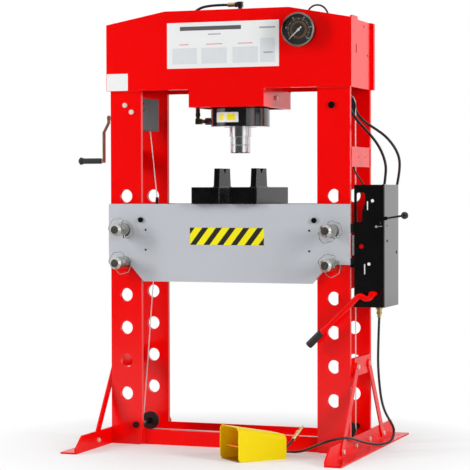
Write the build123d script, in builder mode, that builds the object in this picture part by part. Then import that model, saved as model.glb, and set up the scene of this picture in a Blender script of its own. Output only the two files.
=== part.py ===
"""Free-standing hydraulic H-frame press, in millimetres.

X runs to the right along the crown, Y to the back, Z up from the floor. The origin is on the
floor, midway between the two columns and midway between their front and back bars, which is
the middle of the four floor anchors and the foot of the ram's axis.
"""
import os
from math import acos, atan2, cos, degrees, hypot, pi, radians, sin, sqrt, tan

from build123d import *

os.makedirs("parts", exist_ok=True)

# Clearances and seats
seat_gap = 0.3          # a round piece that rests in a larger round hole
running_gap = 0.05      # a shaft in its own bore, on the radius
bolt_gap = 0.4          # a bolt in its hole, on the radius

# Columns: two flat bars each, one at the front and one at the back
clear_span = 836        # between the columns
bar_width = 150
bar_thick = 20
bar_gap = 300           # between the front and the back bar of a column
bar_corner = 12
hole_dia = 60
hole_pitch = 150
first_hole = 232
hole_count = 7
tie_thick = 8
tie_height = 88
tie_high = 1303         # middle heights of the tie plates on a column's outer side
tie_low = 915
tie_hole_y = 53
tie_hole_radius = 5

column_mid = (clear_span + bar_width) / 2
column_out = clear_span / 2 + bar_width
bar_face = bar_gap / 2 + bar_thick

# Crown: a front and a back plate on the bars, with a deeper middle that frames the cylinder
crown_thick = 20
crown_half = 580
crown_bottom = 1608
crown_shoulder = 1908
crown_top = 1961
crown_flat_half = 294
apron_half = 178
apron_bottom = 1528
apron_corner = 6
crown_face = bar_face + crown_thick
bar_top = crown_shoulder - 25
end_lug_y = -95
end_lug_length = 100
end_lug_rise = 14
end_slot_y = -72
end_slot_z = 1780
end_slot_length = 42
end_hole_radius = 7
end_holes = ((51, 1885), (106, 1759), (138, 1758))

# Cradle that holds the cylinder between the crown plates
cradle_thick = 15
cradle_top = 1700
seat_plate_low = 1640
seat_plate_thick = 40
cradle_bolt_y = -19
cradle_bolt_z = 1572

# Cylinder and ram, on the press axis
ram_radius = 50
nose_radius = 46
nose_length = 73
nose_groove = 2.5
ram_tip = 1325
ram_chamfer = 3
barrel_radius = 135
neck_radius = 118
bore_radius = 100
barrel_low = 1444
barrel_top = 1900
gland_radius = 75
cap_spigot = 25
cap_height = 22
piston_height = 70
piston_play = 1
lock_ring_radius = 138
lock_ring_height = 25
rod_neck_radius = 30
lip_height = 18         # the barrel's lower lip, below the room the side port opens into
guide_radius = 66
guide_top = 1500
port_boss = 8
port_boss_radius = 16
port_radius = 6
port_z = 1472
cap_boss_height = 18    # the oil port's boss stands this far above the cap

# Pressure gauge on the crown's right half
gauge_x = 350
gauge_z = 1857
gauge_radius = 75
gauge_case_radius = 70
gauge_depth = 46
gauge_rim = 6
gauge_stem = 9
gauge_stem_back = -bar_gap / 2
needle_pivot = 2.5
needle_rest = 223       # degrees from the dial's right-hand side, counter-clockwise

# Base, feet and braces
beam_height = 68
beam_foot = 50
beam_wall = 8
foot_length = 1120
foot_leg = 75
foot_wall = 8
foot_chamfer_y = 70
foot_chamfer_z = 52
anchor_radius = 9
anchor_y = 470
brace_width = 40
brace_thick = 6
brace_low_y = 325
brace_high_y = 95
brace_low_z = 34
brace_high_z = 378
anchor_hole_x = 612
foot_bolt_y = 110
bolt_radius = 6
bolt_head_radius = 11
bolt_head_height = 7.5
bracket_height = 80
bracket_width = 250

# Table
table_half = column_out + 2
table_thick = 20
table_slide_gap = 1.5   # between a table plate and the columns' faces
table_top = 1096
tab_bottom = 831.5
table_bottom = 746
slope_out = 476
slope_in = 398
anchor_x = 411
anchor_z = 1024
anchor_rod = 6.5
anchor_head = 12
anchor_cap = 8
eye_thick = 10
eye_rise = 72
eye_socket_radius = 8
eye_socket_length = 30
spacer_x = 388
spacer_width = 24
spacer_bottom = 852
spacer_top = 1000
spacer_wall = 6
screw_levels = (979, 889)
screw_radius = 4

# Pins that carry the table
pin_radius = 28
pin_front = 304
pin_back = 222
lower_pin_hole = 4      # the pins sit in this hole and the next, counted from 0
clip_pin_radius = 4
clip_wire = 1.8
pin_nose = 10           # length of the cone at each end of a pin
clip_places = (-274, -208)

# V blocks on the table
block_gap = 43
block_width = 134
block_half_length = 220
block_height = 75
tower_height = 85
tower_top_half = 68
tower_foot_half = 78
tower_thick = 26
notch_half = 24
notch_depth = 25
tower_top = table_top + block_height + tower_height
tower_fillet = 8

# Winch in the left column
crank_z = 1490
drum_z = 1505
gear_module = 2
pinion_teeth = 14
gear_teeth = 62
gear_width = 10
drum_radius = 37.5
drum_flange = 50
drum_length = 100
rope_radius = 2.5
rope_lead = 3.5         # the last turn's distance from the drum's flange
winch_wall = 4
winch_inset = 12
winch_mid_y = -38
winch_depth = 205
winch_height = 132
winch_boss_length = 20
winch_bar_z = 1446
cover_depth = 216
cover_height = 146
cover_return = 60
cover_screws = (1553, 1522)
crank_shaft = 8
crank_hub_x = 598
crank_step = 22
handle_pin = 6
grip_start = 8
crank_arm_length = 197
crank_offset = 32
crank_thick = 8
crank_width = 18
grip_radius = 13
grip_length = 108

# Rope pulleys
sheave_low_radius = 35
sheave_top_radius = 56
sheave_width = 14
axle_radius = 10
sheave_left = (-447, 90)
sheave_right = (506, 85)
sheave_top = (sheave_right[0] + sheave_low_radius - sheave_top_radius, 1529)
axle_head = 15
axle_head_height = 7
collar_thick = 4

# Pump box on the right column
box_left = 585
box_right = 721
box_front = 166
box_back = 77
box_low = 646
box_high = 1180
box_sheet = 3
slot_left = box_left + 12
slot_right = box_left + 49
slot_neck = box_left + 36
slot_low = 1018
slot_stem = 46          # upright part of the slot, below its slope
slot_slope = 36
slot_lobe = 45          # the wider upper part
slot_bend = slot_low + slot_stem + slot_slope
slot_high = slot_bend + slot_lobe
peep_x = 618
peep_z = 911
peep_radius = 10.5
bracket_sheet = 6
bracket_end = 640
pump_bracket_levels = (990, 839)
box_back_left = 640

# Tank and pump inside the box
tank_left = 640
tank_front = -140
tank_back = 65
tank_low = 830
tank_high = 1150
tank_x = 690
pump_left = 640
pump_low = 650
pump_back = -20
barrel_rise = 32
plunger_x = 660
plunger_y = -151
plunger_radius = 7

# Pump lever and valve lever
lever_x = 680
lever_z = 707
lever_plane = 215
lever_shaft = 9
lever_depth = 40
hub_length = 28
lever_rod = 12.5
lever_grip_radius = 16.5
rocker_nose = 9
rocker_height = 7
rocker_gap = 0.6        # above the plunger at rest; the arc of the rocker's nose uses it up
plunger_top = lever_z - rocker_nose - rocker_gap
valve_x = 705
valve_z = 1030
valve_plane = 178
valve_shaft = 6
valve_root = 34
valve_tilt = radians(8.8)
valve_length = 111
valve_ball = 16

# Hoses and their fittings
hose_radius = 6
gauge_hose_radius = 4
air_radius = 5.5
pressure_z = 1040
return_x = 693
return_y = -60
return_end_x = -barrel_radius - 72
gauge_port_z = 1080
air_x = 680
air_y = -100

# Foot pedal: its corner on the floor, and its turn about the upright
pedal_corner = (190, -560)
pedal_turn = 50
pedal_width = 160
pedal_length = 238
pedal_front = 150
pedal_rear = 105
pedal_sheet = 3
pedal_port_z = 26
air_across = 50
supply_across = 104
valve_box_side = 18
treadle_hinge = 172
treadle_z = 40
treadle_pin = 4
treadle_front = 26
treadle_front_z = 58


def save(piece, name):
    """Name a finished piece and write it."""
    piece.part.label = name
    export_step(piece.part, f"parts/{name}.step")


def facing(y):
    """A plane parallel to the crown's face, seen from the front: X to the right, Z up."""
    return Plane.XZ.offset(-y)


def sideways(x):
    """A plane across the press: Y to the right, Z up, extruding towards +X."""
    return Plane.YZ.offset(x)


# Columns
hole_levels = [first_hole + hole_pitch * step for step in range(hole_count)]
winch_bolts = [(-496, 1544), (-464, 1513)]
column_cuts = {
    ("left", -1): [(x, z, bolt_radius + bolt_gap) for x, z in winch_bolts]
    + [(*sheave_left, axle_radius + running_gap)],
    ("left", 1): [],
    ("right", -1): [(*sheave_top, axle_radius + running_gap)],
    ("right", 1): [(*sheave_right, axle_radius + running_gap)],
}
for name, side in (("left", -1), ("right", 1)):
    with BuildPart() as column:
        for face in (-1, 1):
            start = bar_gap / 2 + bar_thick if face > 0 else -bar_gap / 2
            with BuildSketch(facing(start)) as bar:
                with BuildLine():
                    Polyline(
                        (side * (column_mid - bar_width / 2), bar_top),
                        (side * (column_mid - bar_width / 2), 0),
                        (side * (column_mid + bar_width / 2), 0),
                        (side * (column_mid + bar_width / 2), bar_top),
                        close=True,
                    )
                make_face()
                fillet(bar.vertices().group_by(Axis.Y)[0], radius=bar_corner)
                with Locations(*[(side * column_mid, level) for level in hole_levels]):
                    Circle(hole_dia / 2, mode=Mode.SUBTRACT)
                for x, z, radius in column_cuts[name, face]:
                    with Locations((x, z)):
                        Circle(radius, mode=Mode.SUBTRACT)
            extrude(amount=bar_thick)
    save(column, f"column_{name}")

# Cross plates between the bars, on the outer side of each column
with BuildPart() as tie_plates:
    for side in (-1, 1):
        inner = column_out - tie_thick if side > 0 else -column_out
        levels = [(level, tie_height) for level in (tie_high, tie_low)]
        levels += [(brace_high_z, bracket_height), (beam_height / 2, beam_height)]
        for level, height in levels:
            with BuildSketch(sideways(inner)):
                with Locations((0, level)):
                    Rectangle(bar_gap, height)
            extrude(amount=tie_thick)
    for side in (-1, 1):
        with BuildSketch(sideways(side * (column_out - tie_thick / 2))):
            for y in (-foot_bolt_y, foot_bolt_y):
                with Locations((y, brace_low_z)):
                    Circle(bolt_radius + bolt_gap)
            for y in (-brace_high_y, brace_high_y):
                with Locations((y, brace_high_z)):
                    Circle(bolt_radius + bolt_gap)
            for y in (-tie_hole_y, tie_hole_y):
                with Locations((y + tie_hole_y / 4, tie_high)):
                    Circle(tie_hole_radius)
        extrude(amount=tie_thick, both=True, mode=Mode.SUBTRACT)
    for side in (-1, 1):
        inner = column_out if side > 0 else -column_out - foot_wall
        with BuildSketch(sideways(inner)):
            with Locations((0, brace_high_z)):
                RectangleRounded(bracket_width, bracket_height, 8)
            for y in (-brace_high_y, brace_high_y):
                with Locations((y, brace_high_z)):
                    Circle(bolt_radius + bolt_gap, mode=Mode.SUBTRACT)
        extrude(amount=foot_wall)
save(tie_plates, "tie_plates")

# Crown plates: sloping shoulders, and a deeper apron in the middle
for name, start in (("front", -bar_face), ("back", crown_face)):
    with BuildPart() as crown:
        with BuildSketch(facing(start)) as outline:
            with BuildLine():
                half = [
                    (crown_flat_half, crown_top),
                    (crown_half, crown_shoulder),
                    (crown_half, crown_bottom),
                    (apron_half, crown_bottom),
                    (apron_half, apron_bottom),
                ]
                Polyline(*half, *[(-x, z) for x, z in reversed(half)], close=True)
            make_face()
            corners = outline.vertices().filter_by(lambda v: abs(v.Y - crown_bottom) < 1)
            fillet(corners.filter_by(lambda v: abs(v.X) < crown_half - 1), radius=apron_corner)
            if name == "front":
                with Locations((gauge_x, gauge_z)):
                    Circle(gauge_stem + 4, mode=Mode.SUBTRACT)
        extrude(amount=crown_thick)
    save(crown, f"crown_{name}_plate")

# End plates of the crown, with hose and bolt holes and a rounded lug on the front corner
with BuildPart() as crown_ends:
    for side in (-1, 1):
        inner = column_out - tie_thick if side > 0 else -column_out
        with BuildSketch(sideways(inner)):
            with Locations((0, (crown_bottom + crown_shoulder) / 2)):
                Rectangle(bar_gap, crown_shoulder - crown_bottom)
            with Locations((end_lug_y, crown_shoulder)):
                RectangleRounded(end_lug_length, 2 * end_lug_rise, end_lug_rise - 1)
            with Locations((end_slot_y, end_slot_z)):
                SlotOverall(end_slot_length, 2 * end_hole_radius, rotation=90, mode=Mode.SUBTRACT)
            for y, z in end_holes:
                with Locations((y, z)):
                    Circle(end_hole_radius, mode=Mode.SUBTRACT)
        extrude(amount=tie_thick)
save(crown_ends, "crown_end_plates")

# Cradle: two side plates at the apron's edges and the bored plate that the cylinder bears on
with BuildPart() as cradle:
    for side in (-1, 1):
        inner = apron_half - cradle_thick if side > 0 else -apron_half
        with BuildSketch(sideways(inner)):
            with Locations((0, (apron_bottom + cradle_top) / 2)):
                Rectangle(2 * bar_face, cradle_top - apron_bottom)
            with Locations((cradle_bolt_y, cradle_bolt_z)):
                Circle(bolt_radius + bolt_gap, mode=Mode.SUBTRACT)
        extrude(amount=cradle_thick)
    with BuildSketch(Plane.XY.offset(seat_plate_low)):
        Rectangle(2 * (apron_half - cradle_thick), 2 * bar_face)
        Circle(neck_radius + running_gap, mode=Mode.SUBTRACT)
    extrude(amount=seat_plate_thick)
save(cradle, "cylinder_cradle")

# Cylinder: barrel with a shoulder under the seat plate, ring above it, cap and gland
bore_low = barrel_low + lip_height
cap_boss_top = barrel_top + cap_height + cap_boss_height
with BuildPart() as barrel:
    with BuildSketch(Plane.XZ):
        with BuildLine():
            Polyline(
                (gland_radius, barrel_low),
                (barrel_radius - 3, barrel_low),
                (barrel_radius, barrel_low + 3),
                (barrel_radius, seat_plate_low),
                (neck_radius, seat_plate_low),
                (neck_radius, barrel_top),
                (bore_radius, barrel_top),
                (bore_radius, bore_low),
                (gland_radius, bore_low),
                close=True,
            )
        make_face()
    revolve(axis=Axis.Z)
    with BuildSketch(sideways(-barrel_radius - port_boss)):
        with Locations((0, port_z)):
            Circle(port_boss_radius)
    extrude(amount=port_boss + 5)
    with BuildSketch(sideways(-barrel_radius - port_boss - 1)):
        with Locations((0, port_z)):
            Circle(port_radius)
    extrude(amount=barrel_radius - bore_radius + port_boss + 5, mode=Mode.SUBTRACT)
save(barrel, "cylinder_barrel")

with BuildPart() as lock_ring:
    with BuildSketch(Plane.XY.offset(seat_plate_low + seat_plate_thick)):
        Circle(lock_ring_radius)
        Circle(neck_radius + running_gap, mode=Mode.SUBTRACT)
        with PolarLocations(lock_ring_radius, 6):
            Rectangle(12, 20, mode=Mode.SUBTRACT)
    extrude(amount=lock_ring_height)
    chamfer(lock_ring.edges().filter_by(GeomType.CIRCLE).group_by(Axis.Z)[-1], length=1)
save(lock_ring, "cylinder_lock_ring")

with BuildPart() as cap:
    with BuildSketch(Plane.XZ):
        with BuildLine():
            Polyline(
                (port_radius, barrel_top - cap_spigot),
                (bore_radius - running_gap, barrel_top - cap_spigot),
                (bore_radius - running_gap, barrel_top),
                (neck_radius, barrel_top),
                (neck_radius, barrel_top + cap_height - 2),
                (neck_radius - 2, barrel_top + cap_height),
                (port_boss_radius + 6, barrel_top + cap_height),
                (port_boss_radius + 6, cap_boss_top),
                (port_radius, cap_boss_top),
                close=True,
            )
        make_face()
    revolve(axis=Axis.Z)
    with PolarLocations(neck_radius - 14, 8):
        with Locations((0, 0, barrel_top + cap_height)):
            CounterBoreHole(bolt_radius / 2, bolt_radius, 5, depth=cap_height - 6)
save(cap, "cylinder_cap")

with BuildPart() as gland:
    with BuildSketch(Plane.XZ):
        with BuildLine():
            Polyline(
                (ram_radius + running_gap, barrel_low + 4),
                (ram_radius + 5, barrel_low + 1),
                (gland_radius - 2, barrel_low + 1),
                (gland_radius - running_gap, barrel_low + 3),
                (gland_radius - running_gap, bore_low),
                (guide_radius, bore_low),
                (guide_radius, guide_top),
                (ram_radius + running_gap, guide_top),
                close=True,
            )
        make_face()
    revolve(axis=Axis.Z)
save(gland, "cylinder_gland")

# Ram: plated rod with a stepped and grooved nose, and its piston
piston_top = barrel_top - cap_spigot - piston_play
piston_low = piston_top - piston_height
with BuildPart() as ram_rod:
    with BuildSketch(Plane.XZ):
        with BuildLine():
            Polyline(
                (0, ram_tip),
                (nose_radius - ram_chamfer, ram_tip),
                (nose_radius, ram_tip + ram_chamfer),
                (nose_radius, ram_tip + nose_length / 2 - 2),
                (nose_radius - nose_groove, ram_tip + nose_length / 2),
                (nose_radius, ram_tip + nose_length / 2 + 2),
                (nose_radius, ram_tip + nose_length - 4),
                (nose_radius - nose_groove, ram_tip + nose_length - 3),
                (nose_radius - nose_groove, ram_tip + nose_length),
                (ram_radius, ram_tip + nose_length + 1),
                (ram_radius, piston_low),
                (rod_neck_radius, piston_low),
                (rod_neck_radius, piston_top - 22),
                (0, piston_top - 22),
                close=True,
            )
        make_face()
    revolve(axis=Axis.Z)
save(ram_rod, "ram_rod")

with BuildPart() as piston:
    with BuildSketch(Plane.XZ):
        with BuildLine():
            Polyline(
                (rod_neck_radius + running_gap, piston_low),
                (bore_radius - 2, piston_low),
                (bore_radius - running_gap, piston_low + 2),
                (bore_radius - running_gap, piston_low + 18),
                (bore_radius - 7, piston_low + 18),
                (bore_radius - 7, piston_low + 27),
                (bore_radius - running_gap, piston_low + 27),
                (bore_radius - running_gap, piston_low + 43),
                (bore_radius - 7, piston_low + 43),
                (bore_radius - 7, piston_low + 52),
                (bore_radius - running_gap, piston_low + 52),
                (bore_radius - running_gap, piston_top - 2),
                (bore_radius - 2, piston_top),
                (rod_neck_radius + running_gap, piston_top),
                close=True,
            )
        make_face()
    revolve(axis=Axis.Z)
save(piston, "ram_piston")

# Gauge: flanged case, dial, glass and needle
gauge_back = -crown_face
gauge_front = gauge_back - gauge_depth
dial_y = gauge_front + gauge_rim + 8
gauge_axis = Axis((gauge_x, 0, gauge_z), (0, 1, 0))
gauge_plane = Plane(origin=(gauge_x, 0, gauge_z), x_dir=(1, 0, 0), z_dir=(0, 0, 1))
with BuildPart() as gauge_case:
    with BuildSketch(gauge_plane):
        with BuildLine():
            Polyline(
                (0, gauge_back),
                (gauge_case_radius, gauge_back),
                (gauge_case_radius, gauge_front + 14),
                (gauge_radius - 2, gauge_front + 12),
                (gauge_radius, gauge_front + 9),
                (gauge_radius, gauge_front + 3),
                (gauge_radius - 3, gauge_front),
                (gauge_radius - gauge_rim - 2, gauge_front + 2),
                (gauge_radius - gauge_rim - 2, dial_y + 1.5),
                (0, dial_y + 1.5),
                close=True,
            )
        make_face()
    revolve(axis=gauge_axis)
    with BuildSketch(facing(gauge_stem_back)):
        with Locations((gauge_x, gauge_z)):
            Circle(gauge_stem)
    extrude(amount=gauge_stem_back - gauge_back)
save(gauge_case, "gauge_case")

with BuildPart() as gauge_dial:
    with BuildSketch(facing(dial_y + 1.5)):
        with Locations((gauge_x, gauge_z)):
            Circle(gauge_radius - gauge_rim - 2.3)
            Circle(needle_pivot + running_gap, mode=Mode.SUBTRACT)
    extrude(amount=1.5)
save(gauge_dial, "gauge_dial")

with BuildPart() as gauge_glass:
    with BuildSketch(facing(gauge_front + 5)):
        with Locations((gauge_x, gauge_z)):
            Circle(gauge_radius - gauge_rim - 2.3)
    extrude(amount=2)
save(gauge_glass, "gauge_glass")

needle_tip = gauge_radius - gauge_rim - 14
with BuildPart() as needle:
    with BuildSketch(facing(dial_y + 1.2)):
        with Locations((gauge_x, gauge_z)):
            Circle(needle_pivot)
    extrude(amount=4.2)
    with BuildSketch(facing(dial_y - 1.6)):
        with Locations((gauge_x, gauge_z)):
            Polygon(
                (-18, -3.4), (needle_tip, -0.9), (needle_tip, 0.9), (-18, 3.4),
                rotation=needle_rest, align=None,
            )
            Circle(6)
    extrude(amount=1.2)
save(needle, "gauge_needle")

# Table: two plates that straddle the columns, with notches over the lower pins
pin_levels = [
    hole_levels[lower_pin_hole + row] - (hole_dia / 2 - pin_radius) + seat_gap for row in (0, 1)
]
table_hole_drop = hole_dia / 2 - pin_radius - seat_gap
table_face = bar_face + table_slide_gap
for name, start in (("front", -table_face), ("back", table_face + table_thick)):
    with BuildPart() as table_plate:
        with BuildSketch(facing(start)):
            with BuildLine():
                half = [
                    (table_half, table_top),
                    (table_half, tab_bottom),
                    (slope_out, tab_bottom),
                    (slope_in, table_bottom),
                ]
                Polyline(*half, *[(-x, z) for x, z in reversed(half)], close=True)
            make_face()
            for side in (-1, 1):
                for level in pin_levels:
                    with Locations((side * column_mid, level - table_hole_drop)):
                        Circle(hole_dia / 2, mode=Mode.SUBTRACT)
                with Locations((side * anchor_x, anchor_z)):
                    Circle(anchor_rod + bolt_gap, mode=Mode.SUBTRACT)
                for level in screw_levels:
                    with Locations((side * spacer_x, level)):
                        Circle(screw_radius, mode=Mode.SUBTRACT)
        extrude(amount=table_thick)
    save(table_plate, f"table_{name}_plate")

# Box-section spacers between the table plates
with BuildPart() as spacers:
    for side in (-1, 1):
        with BuildSketch(facing(table_face)):
            with Locations((side * spacer_x, (spacer_bottom + spacer_top) / 2)):
                RectangleRounded(spacer_width, spacer_top - spacer_bottom, 6)
                RectangleRounded(
                    spacer_width - 2 * spacer_wall,
                    spacer_top - spacer_bottom - 2 * spacer_wall,
                    3,
                    mode=Mode.SUBTRACT,
                )
        extrude(amount=2 * table_face)
save(spacers, "table_spacers")

# Cross rods through the table, with round heads, and the rope eyes that hang on them
with BuildPart() as anchors:
    for side in (-1, 1):
        with BuildSketch(facing(table_face + table_thick)):
            with Locations((side * anchor_x, anchor_z)):
                Circle(anchor_rod)
        extrude(amount=2 * (table_face + table_thick))
        for start in (-table_face - table_thick, table_face + table_thick + anchor_cap):
            with BuildSketch(facing(start)):
                with Locations((side * anchor_x, anchor_z)):
                    Circle(anchor_head)
            extrude(amount=anchor_cap)
    # the eyes that hang on the rods and hold the rope ends
    for side in (-1, 1):
        with BuildSketch(facing(eye_thick / 2)):
            with Locations((side * anchor_x, anchor_z)):
                Circle(anchor_rod + 7)
            with Locations((side * anchor_x, anchor_z + eye_rise / 2)):
                Rectangle(16, eye_rise)
            with Locations((side * anchor_x, anchor_z)):
                Circle(anchor_rod + running_gap, mode=Mode.SUBTRACT)
        extrude(amount=eye_thick)
        with BuildSketch(Plane.XY.offset(anchor_z + eye_rise)):
            with Locations((side * anchor_x, 0)):
                Circle(eye_socket_radius)
        extrude(amount=eye_socket_length, taper=4)
    with BuildSketch(Plane.XY.offset(anchor_z - anchor_rod - 6)):
        with Locations((-anchor_x, 0)):
            Circle(eye_socket_radius)
    extrude(amount=-eye_socket_length, taper=4)
save(anchors, "rope_anchors")


def spring_clip(x, y, z, turn):
    """A cross pin with a round head, and a wire bow from the head round to its tip.

    The pin crosses the table pin at `turn` degrees from upright, seen from the front.
    """
    clip_plane = Plane(
        origin=(x, y, z),
        x_dir=(cos(radians(turn)), 0, -sin(radians(turn))),
        z_dir=(sin(radians(turn)), 0, cos(radians(turn))),
    )
    head = pin_radius
    with BuildSketch(clip_plane.offset(-head - 6)) as stem:
        Circle(clip_pin_radius)
    extrude(stem.sketch, amount=2 * head + 8)
    with BuildSketch(clip_plane.offset(head)) as knob:
        Circle(clip_pin_radius + 3)
    extrude(knob.sketch, amount=12)
    bow_plane = Plane(origin=(x, y, z), x_dir=clip_plane.z_dir, z_dir=(0, -1, 0))
    with BuildLine(bow_plane):
        bow = FilletPolyline(
            (head + 5, 0),
            (head + 16, 18),
            (head + 4, head + 18),
            (-head / 3, head + 22),
            (-head - 10, head / 2 + 6),
            (-head - 11, 4),
            radius=9,
        )
    with BuildSketch(Plane(origin=bow @ 0, z_dir=bow % 0)) as wire:
        Circle(clip_wire)
    sweep(wire.sketch, path=bow)


# Table pins: long bars with chamfered ends, each with two spring clips at the front
clip_turns = {
    "left_upper": (75, 172),
    "left_lower": (80, -110),
    "right_upper": (-110, 152),
    "right_lower": (95, -127),
}
for name, turns in clip_turns.items():
    x = column_mid if name.startswith("right") else -column_mid
    z = pin_levels[1] if name.endswith("upper") else pin_levels[0]
    with BuildPart() as table_pin:
        with BuildSketch(facing(pin_back)):
            with Locations((x, z)):
                Circle(pin_radius)
        extrude(amount=pin_back + pin_front)
        chamfer(table_pin.edges().filter_by(GeomType.CIRCLE), length=pin_nose)
        for turn, y in zip(turns, clip_places):
            across = Plane(
                origin=(x, y, z),
                x_dir=(0, 1, 0),
                z_dir=(sin(radians(turn)), 0, cos(radians(turn))),
            )
            with BuildSketch(across):
                Circle(clip_pin_radius + bolt_gap)
            extrude(amount=pin_radius + 5, both=True, mode=Mode.SUBTRACT)
        for turn, y in zip(turns, clip_places):
            spring_clip(x, y, z, turn)
    save(table_pin, f"pin_{name}")

# V blocks: a heavy bar with a tapered, notched tower in the middle
block_mid = (block_gap + block_width) / 2
for name, side in (("left", -1), ("right", 1)):
    with BuildPart() as v_block:
        with BuildSketch(Plane.XY.offset(table_top)):
            with Locations((side * block_mid, 0)):
                Rectangle(block_width, 2 * block_half_length)
        extrude(amount=block_height)
        chamfer(v_block.edges().filter_by(Axis.Z), length=3)
        chamfer(v_block.edges().group_by(Axis.Z)[-1], length=2)
        with BuildSketch(sideways(side * block_mid - tower_thick / 2)):
            with BuildLine():
                Polyline(
                    (-tower_foot_half, table_top + block_height),
                    (tower_foot_half, table_top + block_height),
                    (tower_top_half, tower_top),
                    (notch_half, tower_top),
                    (0, tower_top - notch_depth),
                    (-notch_half, tower_top),
                    (-tower_top_half, tower_top),
                    close=True,
                )
            make_face()
        extrude(amount=tower_thick)
        seam = v_block.edges().filter_by(Axis.Y).filter_by(
            lambda e: abs(e.center().Z - table_top - block_height) < 1
            and abs(abs(e.center().X - side * block_mid) - tower_thick / 2) < 1
        )
        fillet(seam, radius=tower_fillet)
    save(v_block, f"v_block_{name}")

# Base: angle beams between the columns, standing on the floor inside the bars
with BuildPart() as base_beams:
    for face in (-1, 1):
        with BuildSketch(sideways(-clear_span / 2 - bar_width + tie_thick)):
            with BuildLine():
                outer = face * bar_gap / 2
                Polyline(
                    (outer, 0),
                    (outer, beam_height),
                    (outer - face * beam_wall, beam_height),
                    (outer - face * beam_wall, beam_wall),
                    (outer - face * beam_foot, beam_wall),
                    (outer - face * beam_foot, 0),
                    close=True,
                )
            make_face()
        extrude(amount=2 * (column_out - tie_thick))
save(base_beams, "base_beams")

# Feet: angles with cut-back ends, drilled for the braces, the columns and the floor anchors
with BuildPart() as feet:
    for side in (-1, 1):
        with BuildSketch(facing(foot_length / 2)):
            with BuildLine():
                Polyline(
                    (side * column_out, 0),
                    (side * column_out, foot_leg),
                    (side * (column_out + foot_wall), foot_leg),
                    (side * (column_out + foot_wall), foot_wall),
                    (side * (column_out + foot_leg), foot_wall),
                    (side * (column_out + foot_leg), 0),
                    close=True,
                )
            make_face()
        extrude(amount=foot_length)
        with BuildSketch(sideways(side * (column_out + foot_wall / 2))):
            for end in (-1, 1):
                with BuildLine():
                    Polyline(
                        (end * foot_length / 2, foot_leg - foot_chamfer_z),
                        (end * foot_length / 2, foot_leg),
                        (end * (foot_length / 2 - foot_chamfer_y), foot_leg),
                        close=True,
                    )
                make_face()
                for y in (brace_low_y, foot_bolt_y):
                    with Locations((end * y, brace_low_z)):
                        Circle(bolt_radius + bolt_gap)
        extrude(amount=foot_wall, both=True, mode=Mode.SUBTRACT)
        with BuildSketch(Plane.XY):
            for y in (-anchor_y, anchor_y):
                with Locations((side * anchor_hole_x, y)):
                    Circle(anchor_radius)
        extrude(amount=foot_wall, mode=Mode.SUBTRACT)
save(feet, "feet")

# Braces: flat bars with round ends, from the brackets on the columns down to the feet
brace_run = brace_low_y - brace_high_y
brace_rise = brace_high_z - brace_low_z
brace_tilt = degrees(atan2(brace_rise, -brace_run))
with BuildPart() as braces:
    for side in (-1, 1):
        inner = column_out + foot_wall if side > 0 else -column_out - foot_wall - brace_thick
        for end in (-1, 1):
            middle = (end * (brace_low_y + brace_high_y) / 2, (brace_low_z + brace_high_z) / 2)
            with BuildSketch(sideways(inner)):
                with Locations(middle):
                    SlotCenterToCenter(
                        hypot(brace_run, brace_rise),
                        brace_width,
                        rotation=brace_tilt if end > 0 else -brace_tilt,
                    )
                for y, z in ((brace_low_y, brace_low_z), (brace_high_y, brace_high_z)):
                    with Locations((end * y, z)):
                        Circle(bolt_radius + bolt_gap, mode=Mode.SUBTRACT)
            extrude(amount=brace_thick)
save(braces, "braces")

def bolt(start, out, grip):
    """A hexagon bolt from its head's seat: the head stands out, the nut closes on `grip`."""
    seat = Plane(origin=start, z_dir=out)
    with BuildSketch(seat) as head:
        RegularPolygon(bolt_head_radius, 6)
    extrude(head.sketch, amount=bolt_head_height)
    with BuildSketch(seat) as stem:
        Circle(bolt_radius)
    extrude(stem.sketch, amount=-grip - bolt_head_height - 4)
    with BuildSketch(seat.offset(-grip)) as nut:
        RegularPolygon(bolt_head_radius, 6)
    extrude(nut.sketch, amount=-bolt_head_height)


with BuildPart() as frame_bolts:
    for side in (-1, 1):
        for end in (-1, 1):
            out = (side, 0, 0)
            brace_face = side * (column_out + foot_wall + brace_thick)
            foot_face = side * (column_out + foot_wall)
            bolt((brace_face, end * brace_low_y, brace_low_z), out, foot_wall + brace_thick)
            bolt(
                (brace_face, end * brace_high_y, brace_high_z),
                out,
                tie_thick + foot_wall + brace_thick,
            )
            bolt((foot_face, end * foot_bolt_y, brace_low_z), out, tie_thick + foot_wall)
        bolt(
            (side * apron_half, cradle_bolt_y, cradle_bolt_z),
            (side, 0, 0),
            cradle_thick,
        )
save(frame_bolts, "frame_bolts")

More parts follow.
